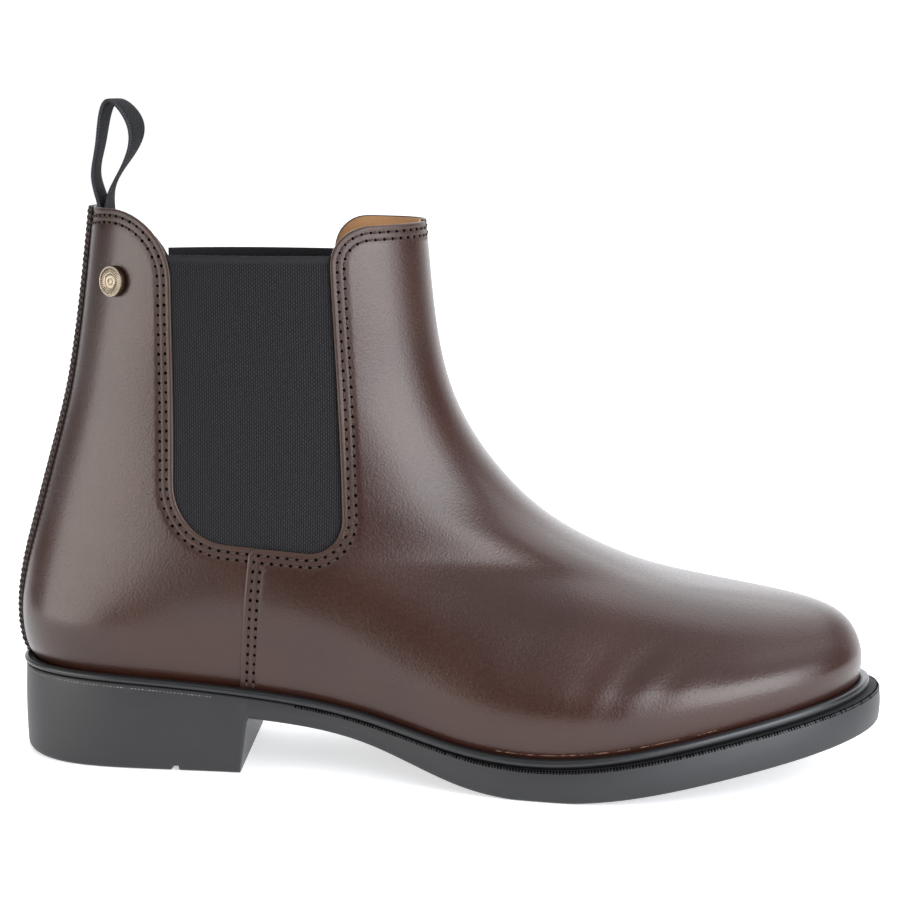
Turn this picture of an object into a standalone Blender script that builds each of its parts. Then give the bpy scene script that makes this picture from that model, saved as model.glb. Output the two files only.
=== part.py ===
"""Jodhpur boot for the right foot.

A hollow leather upper with two elastic gores stands on a moulded rubber sole with its heel.
A bead welt, an insole, a back strip, a pull loop and a rivet complete it.

The tables and sizes are in millimetres and are turned into metres where the meshes are made.
In the drawing frame x runs from the back of the sole to the toe, y from the outer side of the
foot (negative) to the inner side, and z up from the floor.
"""

import math
from collections import namedtuple

import bmesh
import bpy
import numpy as np
from mathutils import Vector

MM = 0.001
MERGE = 1e-7

# Driving dimensions of the sole.
SOLE_LENGTH = 301.0
HEEL_WIDTH = 67.5
WAIST_WIDTH = 70.0
BALL_WIDTH = 107.0
HEEL_RADIUS = 33.0
TOE_RADIUS = 37.0
TOE_IN = 5.0
SEAT_HEIGHT = 31.6
BREAST_X = 86.5
BREAST_LEAN = 2.7
BREAST_SKEW = 7.0
BREAST_FADE = 26.0
NOTCH_X = 59.5
NOTCH_WIDTH = 3.0
NOTCH_DEPTH = 1.4
EDGE_ROUND = 1.3
SOLE_TIP = 0.4

# Driving dimensions of the upper and of the pieces on it.
WALL = 2.8
VAMP_STEP = 0.8
SEAM_FOOT_X = 83.6
SEAM_FOOT_Z = 29.2
SEAM_LEAN = 0.1
BACK_TOP = 192.3
FRONT_TOP = 187.2
GORE_REAR_X = 61.2
GORE_FRONT_X = 121.2
GORE_BOTTOM = 77.0
GORE_TOP = 175.2
GORE_RECESS = 1.2
GORE_THICK = 1.4
GORE_MARGIN = 4.0
GORE_LEAN = 0.5
INNER_BACK = 13.0
OUTER_Y = -34.0
INNER_Y = 34.0
WELT_WIDTH = 3.7
WELT_LEVELS = (0.06, 0.42)
INSOLE_LEVELS = (0.08, 0.52)
STRIP_WIDTH = 15.0
STRIP_THICK = 1.1
TAPE_WIDTH = 15.0
TAPE_THICK = 1.4
RIVET_X = 40.3
RIVET_Z = 168.0
RIVET_RADIUS = 5.3
RIVET_HEIGHT = 2.4

# Space kept between pieces that lie against each other.
GAP = 0.3

# The middle of the finished boot's footprint in the drawing frame.
FRAME_ORIGIN = np.array([149.6, -1.3, 0.0])

# Plan of the sole: half width and centre line at places along it.
Plan = namedtuple("Plan", "x half centre")
PLAN = [
    Plan(47, HEEL_WIDTH / 2, 0.0),
    Plan(86, HEEL_WIDTH / 2 - 0.2, -0.6),
    Plan(120, WAIST_WIDTH / 2, -3.0),
    Plan(162, 45.5, -3.4),
    Plan(203, BALL_WIDTH / 2, -1.8),
    Plan(234, 52.3, 0.0),
    Plan(265, 44.0, 2.0),
    Plan(286, 31.2, 3.8),
]

# Side view of the sole: height of its upper face and its thickness in front of the heel.
Side = namedtuple("Side", "x top thick")
SIDE = [
    Side(0, SEAT_HEIGHT, 7.4),
    Side(45, 29.9, 7.4),
    Side(88, 26.6, 7.4),
    Side(130, 20.6, 7.3),
    Side(163, 12.8, 10.4),
    Side(188, 10.6, 10.9),
    Side(213, 12.5, 11.3),
    Side(254, 20.6, 11.8),
    Side(SOLE_LENGTH, 29.6, 11.8),
]

# Sections of the upper from the sole to above the collar. Each is a leaning oval from a back
# point to a front point; bend is its share of the sole's bend, share its share of the sole's
# plan, and back, mid and front are the half width of the oval that is added to it.
Section = namedtuple("Section", "back_x back_z front_x front_z bend share back mid front front_y")
SECTIONS = [
    Section(3.4, 31.9, 293.4, 28.6, 1.00, 0.885, 0.0, 0.0, 0.0, 0.0),
    Section(-0.6, 38.5, 294.7, 37.8, 0.97, 0.930, 0.0, 0.5, 0.0, 0.0),
    Section(-1.9, 50.0, 294.0, 43.8, 0.72, 0.900, 5.0, 3.0, 2.0, 1.0),
    Section(-1.1, 60.0, 291.3, 49.6, 0.46, 0.620, 18.0, 15.0, 11.0, 3.0),
    Section(0.8, 70.0, 285.5, 55.1, 0.25, 0.350, 30.0, 25.0, 19.0, 4.0),
    Section(3.7, 81.0, 273.2, 59.3, 0.12, 0.150, 38.0, 31.0, 22.0, 5.0),
    Section(6.8, 92.0, 252.0, 62.8, 0.05, 0.050, 42.0, 33.0, 24.0, 5.0),
    Section(10.3, 104.0, 226.5, 67.5, 0.00, 0.000, 44.0, 34.5, 32.0, 5.0),
    Section(14.4, 118.0, 200.6, 77.0, 0.00, 0.000, 43.0, 34.0, 37.0, 5.0),
    Section(17.5, 130.0, 180.2, 90.0, 0.00, 0.000, 42.0, 33.5, 39.0, 5.0),
    Section(19.9, 142.0, 163.3, 108.7, 0.00, 0.000, 41.0, 33.3, 39.0, 4.0),
    Section(22.3, 157.0, 152.0, 130.7, 0.00, 0.000, 40.0, 33.7, 37.5, 2.0),
    Section(24.6, 174.0, 146.8, 156.0, 0.00, 0.000, 39.5, 34.2, 36.5, 0.0),
    Section(26.8, 192.0, 144.1, 184.0, 0.00, 0.000, 39.0, 34.5, 36.0, 0.0),
]
LAST_TOP = 13.5
STEP_ANGLE = 0.0006

# Angle and level from which a place on the upper is sought.
MIDDLE = (0.4, 8.0)

# Edge of the upper in side view from the back of the collar round the gore to the front of the
# collar: corners and their radii.
Corner = namedtuple("Corner", "x z radius")
COLLAR = [
    Corner(-10, BACK_TOP + 0.6, 0),
    Corner(GORE_REAR_X + 0.3, BACK_TOP, 24),
    Corner(GORE_REAR_X, GORE_BOTTOM + 4.2, 20),
    Corner(GORE_FRONT_X + 0.3, GORE_BOTTOM - 0.2, 11),
    Corner(GORE_FRONT_X - 3.6, FRONT_TOP - 0.5, 9),
    Corner(170, FRONT_TOP + 1.8, 0),
]
CUT_TOP = 240.0
CUT_REACH = 90.0

# Path of the pull loop in side view from its rear end inside the collar over to its front end.
Bend = namedtuple("Bend", "x z")
LOOP_PATH = [
    Bend(30.1, 172.0),
    Bend(31.4, 184.0),
    Bend(31.9, 192.4),
    Bend(28.2, 202.0),
    Bend(29.0, 215.0),
    Bend(35.2, 228.3),
    Bend(43.4, 221.0),
    Bend(41.6, 208.0),
    Bend(35.0, 194.0),
    Bend(33.2, 184.0),
    Bend(31.8, 172.0),
]

# Half profile of the rivet from its middle, as parts of its radius and of its height.
RIVET_PROFILE = [(0.68, 0.78), (0.76, 1.0), (0.94, 0.96), (1.0, 0.78), (1.0, 0.0)]

# Profile of the welt from its outer foot to its top, as parts of its width and of its rise.
WELT_PROFILE = [(1.0, 0.0), (1.0, 0.3), (0.92, 0.68), (0.7, 0.97), (0.4, 1.1)]

# Mesh fineness.
BACK_COLUMNS = 11
FRONT_COLUMNS = 15
UPPER_ROWS = 27
SOLE_STATIONS = 60
SOLE_ENDS = 0.008
GORE_ROWS = 12
GORE_COLUMNS = 9
STRIP_COLUMNS = 7
LOOP_STATIONS = 44
ARC_STEPS = 6
RIVET_SEGMENTS = 28

Finish = namedtuple("Finish", "color roughness metallic")
LEATHER = Finish((0.072, 0.042, 0.036), 0.38, 0.0)
RUBBER = Finish((0.022, 0.022, 0.023), 0.50, 0.0)
ELASTIC = Finish((0.016, 0.016, 0.017), 0.85, 0.0)
WEBBING = Finish((0.020, 0.020, 0.022), 0.80, 0.0)
BOARD = Finish((0.330, 0.180, 0.090), 0.70, 0.0)
BRASS = Finish((0.420, 0.290, 0.170), 0.34, 1.0)


def spline(xs, ys):
    """Return the natural cubic spline through the points as a function."""
    xs = np.asarray(xs, float)
    ys = np.asarray(ys, float)
    count = len(xs)
    step = np.diff(xs)
    matrix = np.zeros((count, count))
    matrix[0, 0] = matrix[-1, -1] = 1.0
    right = np.zeros(count)
    for i in range(1, count - 1):
        matrix[i, i - 1 : i + 2] = step[i - 1], 2 * (step[i - 1] + step[i]), step[i]
        right[i] = 6 * ((ys[i + 1] - ys[i]) / step[i] - (ys[i] - ys[i - 1]) / step[i - 1])
    bend = np.linalg.solve(matrix, right)

    def value(x):
        x = np.asarray(x, float)
        i = np.clip(np.searchsorted(xs, x) - 1, 0, count - 2)
        after = x - xs[i]
        before = xs[i + 1] - x
        cubic = (bend[i] * before**3 + bend[i + 1] * after**3) / (6 * step[i])
        low = (ys[i] / step[i] - bend[i] * step[i] / 6) * before
        high = (ys[i + 1] / step[i] - bend[i + 1] * step[i] / 6) * after
        return cubic + low + high

    return value


def plan_splines():
    """Return the fullness and the centre line of the sole's plan along its length."""
    along = np.array([0.0] + [row.x / SOLE_LENGTH for row in PLAN] + [1.0])
    inner = along[1:-1]
    full = np.array([row.half for row in PLAN]) / (2 * np.sqrt(inner * (1 - inner)))
    heel = math.sqrt(HEEL_RADIUS * SOLE_LENGTH / 2)
    toe = math.sqrt(TOE_RADIUS * SOLE_LENGTH / 2)
    centre = [0.0] + [row.centre for row in PLAN] + [TOE_IN]
    return spline(along, [heel, *full, toe]), spline(along, centre)


plan_full, plan_centre = plan_splines()
sole_top = spline([row.x for row in SIDE], [row.top for row in SIDE])
sole_thick = spline([row.x for row in SIDE], [row.thick for row in SIDE])
section_at = {
    name: spline(range(len(SECTIONS)), [getattr(row, name) for row in SECTIONS])
    for name in Section._fields
}
UPPER_LEVELS = np.linspace(0.0, LAST_TOP, UPPER_ROWS)


def part_way(angle):
    """Turn an angle, 0 at the back and 1 at the front, into the part of the length."""
    return (1 - np.cos(np.pi * angle)) / 2


def last_point(angle, level):
    """Return points of the upper's outer face.

    The angle runs from 0 at the back along the outer side to 1 at the front and along the inner
    side back to 2. The level is a row of the section table, 0 at the sole.
    """
    angle, level = np.broadcast_arrays(np.asarray(angle, float), np.asarray(level, float))
    row = {name: value(level) for name, value in section_at.items()}
    p = part_way(angle)
    foot = SECTIONS[0]
    foot_x = foot.back_x + (foot.front_x - foot.back_x) * p
    foot_z = foot.back_z + (foot.front_z - foot.back_z) * p
    sole_bend = sole_top(foot_x) + GAP - foot_z
    x = row["back_x"] + (row["front_x"] - row["back_x"]) * p
    z = row["back_z"] + (row["front_z"] - row["back_z"]) * p + row["bend"] * sole_bend
    oval = row["back"] * (1 - p) * (1 - 2 * p) + row["mid"] * 4 * p * (1 - p)
    half = row["share"] * plan_full(p) + oval + row["front"] * p * (2 * p - 1)
    centre = row["share"] * plan_centre(p) + row["front_y"] * p**2
    return np.stack([x, centre - half * np.sin(np.pi * angle), z], axis=-1)


def last_normal(angle, level):
    """Return the outward normals of the upper's outer face."""
    small = 1e-4
    angle, level = np.broadcast_arrays(np.asarray(angle, float), np.asarray(level, float))
    around = last_point(angle + small, level) - last_point(angle - small, level)
    upward = last_point(angle, level + small) - last_point(angle, level - small)
    normal = np.cross(around, upward)
    return normal / np.linalg.norm(normal, axis=-1, keepdims=True)


def inside(angle, level, depth):
    """Return points that lie the depth inside the upper's outer face."""
    depth = np.asarray(depth, float)[..., None]
    return last_point(angle, level) - last_normal(angle, level) * depth


def seam_angle(level):
    """Return the angle at which each level crosses the side seam."""
    low = np.zeros_like(level)
    high = np.ones_like(level)
    for _ in range(40):
        middle = (low + high) / 2
        point = last_point(middle, level)
        seam_x = SEAM_FOOT_X + SEAM_LEAN * (point[..., 2] - SEAM_FOOT_Z)
        ahead = point[..., 0] > seam_x
        high = np.where(ahead, middle, high)
        low = np.where(ahead, low, middle)
    return low


def find_on_last(x, z, angle, level):
    """Return the angle and level of the outer side's point at a place in side view."""
    guess = np.array([angle, level], float)
    small = 1e-4
    for _ in range(60):
        here = last_point(*guess)[[0, 2]]
        by_angle = (last_point(guess[0] + small, guess[1])[[0, 2]] - here) / small
        by_level = (last_point(guess[0], guess[1] + small)[[0, 2]] - here) / small
        move = np.linalg.solve(np.column_stack([by_angle, by_level]), np.array([x, z]) - here)
        guess = guess + np.clip(move, [-0.05, -0.5], [0.05, 0.5])
    return guess


def rounded(corners):
    """Return the polyline through corners with each corner rounded by its radius."""
    points = [(corners[0].x, corners[0].z)]
    for before, corner, after in zip(corners, corners[1:], corners[2:]):
        here = Vector((corner.x, corner.z))
        back = (Vector((before.x, before.z)) - here).normalized()
        ahead = (Vector((after.x, after.z)) - here).normalized()
        half = back.angle(ahead) / 2
        middle = here + (back + ahead).normalized() * (corner.radius / math.sin(half))
        first = here + back * (corner.radius / math.tan(half)) - middle
        last = here + ahead * (corner.radius / math.tan(half)) - middle
        turn = math.atan2(first.x * last.y - first.y * last.x, first.dot(last))
        for i in range(ARC_STEPS + 1):
            part = turn * i / ARC_STEPS
            points.append(
                (
                    middle.x + first.x * math.cos(part) - first.y * math.sin(part),
                    middle.y + first.x * math.sin(part) + first.y * math.cos(part),
                )
            )
    points.append((corners[-1].x, corners[-1].z))
    return points


def make_material(name, finish):
    """Return a material with the finish's colour, roughness and metallic."""
    material = bpy.data.materials.new(name)
    material.use_nodes = True
    shader = material.node_tree.nodes["Principled BSDF"]
    shader.inputs["Base Color"].default_value = (*finish.color, 1.0)
    shader.inputs["Roughness"].default_value = finish.roughness
    shader.inputs["Metallic"].default_value = finish.metallic
    return material


def make_object(name, points, faces, material=None):
    """Return an object in metres from points in the drawing frame."""
    points = (np.asarray(points, float).reshape(-1, 3) - FRAME_ORIGIN) * MM
    mesh = bpy.data.meshes.new(name)
    mesh.from_pydata([tuple(point) for point in points], [], faces)
    merged = bmesh.new()
    merged.from_mesh(mesh)
    bmesh.ops.remove_doubles(merged, verts=merged.verts, dist=MERGE)
    merged.to_mesh(mesh)
    merged.free()
    obj = bpy.data.objects.new(name, mesh)
    bpy.context.collection.objects.link(obj)
    if material:
        mesh.materials.append(material)
    return obj


def grid_faces(rows, columns, start, closed, flip):
    """Return the quads of a grid of points; a closed grid joins its last column to its first."""
    faces = []
    for i in range(rows - 1):
        for j in range(columns if closed else columns - 1):
            k = (j + 1) % columns
            quad = (
                start + i * columns + j,
                start + i * columns + k,
                start + (i + 1) * columns + k,
                start + (i + 1) * columns + j,
            )
            faces.append(quad[::-1] if flip else quad)
    return faces


def shell_faces(rows, columns, closed):
    """Return the quads of a sheet whose outer grid is followed by its inner grid."""
    count = rows * columns
    faces = grid_faces(rows, columns, 0, closed, False)
    faces += grid_faces(rows, columns, count, closed, True)
    for j in range(columns if closed else columns - 1):
        k = (j + 1) % columns
        top = (rows - 1) * columns
        faces.append((k, j, count + j, count + k))
        faces.append((top + j, top + k, count + top + k, count + top + j))
    if not closed:
        for i in range(rows - 1):
            here = i * columns
            above = here + columns
            faces.append((here, above, count + above, count + here))
            right = columns - 1
            faces.append((above + right, here + right, count + here + right, count + above + right))
    return faces


def loft_faces(sections, sides):
    """Return the quads that join closed sections in a row, with both ends filled."""
    faces = []
    for i in range(sections - 1):
        for j in range(sides):
            k = (j + 1) % sides
            low = i * sides
            high = low + sides
            faces.append((low + j, low + k, high + k, high + j))
    faces.append(tuple(range(sides))[::-1])
    faces.append(tuple(range((sections - 1) * sides, sections * sides)))
    return faces


def prism(name, outline, y_low, y_high):
    """Return a cutter that carries an outer side's outline across to the inner side, further back."""
    count = len(outline)
    slope = INNER_BACK / (INNER_Y - OUTER_Y)
    points = [(x - slope * (y - OUTER_Y), y, z) for y in (y_low, y_high) for x, z in outline]
    faces = [tuple(range(count)), tuple(range(2 * count - 1, count - 1, -1))]
    for i in range(count):
        k = (i + 1) % count
        faces.append((k, i, count + i, count + k))
    cutter = make_object(name, points, faces)
    cutter.hide_render = True
    cutter.display_type = "WIRE"
    return cutter


def cut(obj, cutter, operation):
    """Add an exact boolean to an object."""
    modifier = obj.modifiers.new(cutter.name, "BOOLEAN")
    modifier.object = cutter
    modifier.operation = operation
    modifier.solver = "EXACT"


def upper_rings(level):
    """Return the angles of the upper's points at each level and how far each is sunk."""
    seam = seam_angle(level)[:, None]
    quarter = seam * np.linspace(0, 1, BACK_COLUMNS)
    lip = seam + STEP_ANGLE
    vamp = lip + (1 - lip) * np.linspace(0, 1, FRONT_COLUMNS)
    half = np.hstack([quarter, vamp])
    ring = np.hstack([half, 2 - half[:, -2:0:-1]])
    sink = np.array([VAMP_STEP] * BACK_COLUMNS + [0.0] * FRONT_COLUMNS)
    return ring, np.hstack([sink, sink[-2:0:-1]])


def build_upper(material):
    """Build the hollow upper with the vamp's step at the side seam and its cut-outs."""
    ring, sink = upper_rings(UPPER_LEVELS)
    level = np.broadcast_to(UPPER_LEVELS[:, None], ring.shape)
    outer = inside(ring, level, np.broadcast_to(sink, ring.shape))
    inner = inside(ring, level, np.full(ring.shape, WALL))
    points = np.vstack([outer.reshape(-1, 3), inner.reshape(-1, 3)])
    upper = make_object("upper", points, shell_faces(*ring.shape, True), material)
    outline = rounded(COLLAR) + [(COLLAR[-1].x, CUT_TOP), (COLLAR[0].x, CUT_TOP)]
    cut(upper, prism("collar_cutter", outline, -CUT_REACH, CUT_REACH), "DIFFERENCE")


def build_gore(name, side, material):
    """Build one elastic gore inside its cut-out; side is -1 outer and 1 inner."""
    foot = find_on_last(GORE_REAR_X, GORE_BOTTOM - GORE_MARGIN, *MIDDLE)[1]
    level = np.linspace(foot, LAST_TOP, GORE_ROWS)[:, None]
    back = INNER_BACK if side > 0 else 0.0
    ends = (GORE_REAR_X - GORE_MARGIN - back, GORE_FRONT_X + GORE_MARGIN - back)
    along = np.linspace(*ends, GORE_COLUMNS)[None, :]
    row = {key: section_at[key](level) for key in ("back_x", "front_x")}
    part = (along - row["back_x"]) / (row["front_x"] - row["back_x"])
    angle = np.arccos(1 - 2 * part) / np.pi
    angle = angle if side < 0 else (2 - angle)[:, ::-1]
    level = np.broadcast_to(level, angle.shape)
    outer = inside(angle, level, np.full(angle.shape, GORE_RECESS))
    inner = inside(angle, level, np.full(angle.shape, GORE_RECESS + GORE_THICK))
    points = np.vstack([outer.reshape(-1, 3), inner.reshape(-1, 3)])
    gore = make_object(name, points, shell_faces(GORE_ROWS, GORE_COLUMNS, False), material)
    rear, bottom_rear, bottom_front, front = COLLAR[1:5]
    outline = rounded(
        [
            Corner(rear.x + GAP, GORE_TOP, 0),
            Corner(bottom_rear.x + GAP, bottom_rear.z + GAP, bottom_rear.radius - GAP),
            Corner(bottom_front.x - GAP, bottom_front.z + GAP, bottom_front.radius - GAP),
            Corner(front.x + GORE_LEAN - GAP, GORE_TOP, 0),
        ]
    )
    reach = sorted((GORE_MARGIN * side, CUT_REACH * side))
    cut(gore, prism(name + "_cutter", outline, *reach), "INTERSECT")


def ground(x):
    """Return the height of the heel's underside."""
    return 0.0


def notch_roof(x):
    """Return the height of the roof of the heel's notch."""
    return NOTCH_DEPTH


def shank(x):
    """Return the height of the sole's underside ahead of the heel."""
    return max(float(sole_top(x) - sole_thick(x)), 0.0)


def sole_section(part, under, lean=0.0):
    """Return one crosswise section of the sole.

    Its inner end lies behind its outer end near the heel's breast, and its foot lies behind its top
    by the lean. The height of its underside is a function of x.
    """
    outer_x = SOLE_LENGTH * part
    skew = BREAST_SKEW * max(1 - abs(outer_x - BREAST_X) / BREAST_FADE, 0.0)
    rows = []
    for side, x in ((-1, outer_x), (1, outer_x - skew)):
        p = x / SOLE_LENGTH
        half = max(float(plan_full(p)) * 2 * math.sqrt(max(p * (1 - p), 0.0)), SOLE_TIP)
        centre = float(plan_centre(p))
        top = float(sole_top(x))
        edge = min(EDGE_ROUND, half / 2)
        rim = [
            (x, centre + side * (half - edge / 2), top),
            (x, centre + side * half, top - edge / 2),
            (x - lean, centre + side * half, under(x) + edge),
            (x - lean, centre + side * (half - edge), under(x)),
        ]
        rows += rim if side < 0 else rim[::-1]
    return rows


def build_outsole(material):
    """Build the moulded sole with its heel, breast, notch, shank and toe spring."""
    breast = BREAST_X / SOLE_LENGTH
    notch = [(NOTCH_X + step * NOTCH_WIDTH) / SOLE_LENGTH for step in (0, 1)]
    near = 0.3 / SOLE_STATIONS
    heel = [(notch[0], ground), (notch[0], notch_roof), (notch[1], notch_roof), (notch[1], ground)]
    ahead = []
    for p in part_way(np.linspace(SOLE_ENDS, 1 - SOLE_ENDS, SOLE_STATIONS)):
        if min(abs(p - place) for place in (breast, *notch)) < near:
            continue
        if p < breast:
            heel.append((p, ground))
        else:
            ahead.append((p, shank))
    points = []
    for p, under in sorted(heel, key=lambda row: row[0]):
        points += sole_section(p, under)
    points += sole_section(breast, ground, BREAST_LEAN)
    points += sole_section(breast, shank)
    for p, under in ahead:
        points += sole_section(p, under)
    make_object("outsole", points, loft_faces(len(points) // 8, 8), material)


def build_welt(material):
    """Build the rounded bead that runs round the foot of the upper."""
    angle = upper_rings(UPPER_LEVELS[:1])[0][0]
    stations = len(angle)
    foot = last_point(angle, WELT_LEVELS[0])
    shoulder = last_point(angle, WELT_LEVELS[1])
    out = last_normal(angle, WELT_LEVELS[1]) * [1, 1, 0]
    out = out / np.linalg.norm(out, axis=-1, keepdims=True)
    rise = shoulder[:, 2] - foot[:, 2]
    rings = [foot + out * GAP]
    for width, height in WELT_PROFILE:
        ring = foot + out * (GAP + WELT_WIDTH * width)
        ring[:, 2] = sole_top(ring[:, 0]) + GAP + rise * height
        rings.append(ring)
    rings.append(shoulder + out * GAP)
    sides = len(rings)
    points = np.stack(rings, axis=1).reshape(-1, 3)
    faces = grid_faces(stations, sides, 0, True, True)
    last = (stations - 1) * sides
    for j in range(sides):
        k = (j + 1) % sides
        faces.append((j, k, last + k, last + j))
    make_object("welt", points, faces, material)


def build_insole(material):
    """Build the insole board that lies on the sole inside the upper."""
    half = BACK_COLUMNS + FRONT_COLUMNS
    angle = upper_rings(UPPER_LEVELS[:1])[0][0, 1 : half - 1]
    points = []
    for a in angle:
        for turn, level in ((a, 1), (a, 0), (2 - a, 0), (2 - a, 1)):
            height = INSOLE_LEVELS[level]
            points.append(inside(turn, height, WALL + GAP))
    make_object("insole", points, loft_faces(len(angle), 4), material)


def build_back_strip(material):
    """Build the strip that covers the back seam from the welt to the collar."""
    level = UPPER_LEVELS[1:-1, None]
    half = section_at["share"](level) * plan_full(0.0) + section_at["back"](level)
    width = STRIP_WIDTH / 2 * np.linspace(1, -1, STRIP_COLUMNS)[None, :]
    angle = -np.arcsin(width / half) / np.pi
    level = np.broadcast_to(level, angle.shape)
    low = np.full(angle.shape, VAMP_STEP - GAP)
    outer = inside(angle, level, low - STRIP_THICK)
    inner = inside(angle, level, low)
    points = np.vstack([outer.reshape(-1, 3), inner.reshape(-1, 3)])
    make_object("back_strip", points, shell_faces(len(angle), STRIP_COLUMNS, False), material)


def build_pull_loop(material):
    """Build the webbing loop whose two ends lie together inside the back of the collar."""
    path = np.array(LOOP_PATH)
    along = np.concatenate([[0], np.cumsum(np.hypot(*np.diff(path, axis=0).T))])
    place = np.linspace(0, along[-1], LOOP_STATIONS)
    x_of = spline(along, path[:, 0])
    z_of = spline(along, path[:, 1])
    small = 0.05
    rise = z_of(place + small) - z_of(place - small)
    run = x_of(place + small) - x_of(place - small)
    half = TAPE_THICK / 2 / np.hypot(rise, run)
    points = []
    for i, spot in enumerate(place):
        for across, out in ((-1, -1), (-1, 1), (1, 1), (1, -1)):
            x = x_of(spot) + out * half[i] * rise[i]
            z = z_of(spot) - out * half[i] * run[i]
            points.append((x, across * TAPE_WIDTH / 2, z))
    make_object("pull_loop", points, loft_faces(LOOP_STATIONS, 4), material)


def build_rivet(material):
    """Build the round rivet cap that stands on the outer side of the back quarter."""
    angle, level = find_on_last(RIVET_X, RIVET_Z, *MIDDLE)
    base = inside(angle, level, VAMP_STEP - GAP)
    axis = Vector(last_normal(angle, level))
    first = axis.orthogonal().normalized()
    second = axis.cross(first)
    points = []
    for radius, height in RIVET_PROFILE:
        for i in range(RIVET_SEGMENTS):
            turn = 2 * math.pi * i / RIVET_SEGMENTS
            arm = first * math.cos(turn) + second * math.sin(turn)
            point = Vector(base) + axis * (RIVET_HEIGHT * height) + arm * (RIVET_RADIUS * radius)
            points.append(tuple(point))
    rings = len(RIVET_PROFILE)
    faces = grid_faces(rings, RIVET_SEGMENTS, 0, True, True)
    faces.append(tuple(range(RIVET_SEGMENTS)))
    start = (rings - 1) * RIVET_SEGMENTS
    faces.append(tuple(range(start, start + RIVET_SEGMENTS))[::-1])
    make_object("rivet", points, faces, material)


def main():
    """Build every piece of the boot."""
    for obj in list(bpy.data.objects):
        bpy.data.objects.remove(obj)
    leather = make_material("leather", LEATHER)
    rubber = make_material("rubber", RUBBER)
    elastic = make_material("elastic", ELASTIC)
    build_outsole(rubber)
    build_welt(make_material("welt_rubber", RUBBER))
    build_insole(make_material("insole_leather", BOARD))
    build_upper(leather)
    build_gore("gore_outer", -1, elastic)
    build_gore("gore_inner", 1, make_material("elastic_inner", ELASTIC))
    build_back_strip(make_material("strip_leather", LEATHER))
    build_pull_loop(make_material("webbing", WEBBING))
    build_rivet(make_material("brass", BRASS))


main()
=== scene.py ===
"""Looks of a brown leather jodhpur boot for the right foot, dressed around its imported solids.

Sizes are in millimetres in the boot's drawing frame: x runs from the back of the sole to the toe,
y from the outer side of the foot (negative) to the inner side, and z up from the floor. They turn
into metres in the row frame where the meshes are made.
"""

import logging
import math
from collections.abc import Callable, Sequence
from dataclasses import dataclass
from enum import Enum
from typing import Any, NamedTuple

import bmesh
import bpy
import numpy as np
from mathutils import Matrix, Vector
from mathutils.geometry import delaunay_2d_cdt
from mathutils.kdtree import KDTree


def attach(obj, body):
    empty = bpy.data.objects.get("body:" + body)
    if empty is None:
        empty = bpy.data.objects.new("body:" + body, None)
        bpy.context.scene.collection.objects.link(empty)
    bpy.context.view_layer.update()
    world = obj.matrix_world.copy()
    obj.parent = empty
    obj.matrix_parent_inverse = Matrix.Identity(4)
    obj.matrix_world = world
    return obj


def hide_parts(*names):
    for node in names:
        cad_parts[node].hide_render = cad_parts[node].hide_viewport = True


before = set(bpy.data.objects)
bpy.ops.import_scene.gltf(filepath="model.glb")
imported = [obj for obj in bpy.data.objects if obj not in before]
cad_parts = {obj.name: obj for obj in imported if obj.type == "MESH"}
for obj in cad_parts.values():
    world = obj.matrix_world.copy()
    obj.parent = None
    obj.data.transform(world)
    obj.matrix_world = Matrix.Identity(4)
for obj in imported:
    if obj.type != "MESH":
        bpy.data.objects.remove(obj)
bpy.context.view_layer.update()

Array = np.ndarray
Color = tuple[float, float, float]
Piece = bpy.types.Object
Material = bpy.types.Material
Socket = bpy.types.NodeSocket
MM = 0.001
LOG = logging.getLogger("boot")

# The row frame's origin in the drawing frame.
FRAME_ORIGIN = np.array([149.6, -1.3, 0.0])
# Rough millimetres to a unit of the chart's angle and level, so that triangles come out even.
CHART_SCALE = np.array([220.0, 11.0])
# Chart step that slopes are taken over, and the halvings of a search on the chart.
SLOPE_STEP = 1e-4
HALVINGS = 44
# Points on a rounded corner before the path is evened out.
ARC_POINTS = 13


class PlanRow(NamedTuple):
    """Half width and centre line of the sole's plan at a place along it."""

    x: float
    half: float
    centre: float


class SideRow(NamedTuple):
    """Height of the sole's upper face and its thickness at a place along it."""

    x: float
    top: float
    thick: float


class SectionRow(NamedTuple):
    """One leaning oval of the upper, from the back point to the front point."""

    back_x: float
    back_z: float
    front_x: float
    front_z: float
    bend: float
    share: float
    back: float
    mid: float
    front: float
    front_y: float


class Corner(NamedTuple):
    """A corner of an edge in side view and the radius that rounds it."""

    x: float
    z: float
    radius: float


class Fold(NamedTuple):
    """A soft trough (positive depth) or ridge of the leather in side view."""

    x: float
    z: float
    turn: float
    length: float
    width: float
    depth: float


class Spot(NamedTuple):
    """A place on a line in side view."""

    x: float
    z: float


class Twist(NamedTuple):
    """A turn of the pull loop's tape: its middle and width as parts of the tape, in degrees."""

    middle: float
    width: float
    turn: float


class BraidRow(NamedTuple):
    """A row of the back braid: its place across the strip and the way it slants."""

    place: float
    right: bool


class RivetRing(NamedTuple):
    """A ring of the rivet as parts of its radius and height."""

    reach: float
    rise: float


class RimRing(NamedTuple):
    """A ring of the sole's upper rim: how far in and down it lies, and how much painted shade it carries."""

    inset: float
    drop: float
    shadow: float


class MarkSize(NamedTuple):
    """Sizes of a repeated mark in millimetres, its turn in radians and its spread as a part."""

    pitch: float
    length: float
    width: float
    height: float
    turn: float = 0.0
    spread: float = 0.0


class Lamp(NamedTuple):
    """A soft box: where it stands, its size in metres, its power and its tint."""

    name: str
    place: tuple[float, float, float]
    width: float
    height: float
    power: float
    tint: Color


class RoomRamp(NamedTuple):
    """A rise of the room's light along an axis, between two heights of the view."""

    axis: str
    low: float
    high: float
    least: float
    most: float


class Foot(Enum):
    """The two sides of the foot, with the sign of y there."""

    OUTER = -1
    INNER = 1


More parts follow.
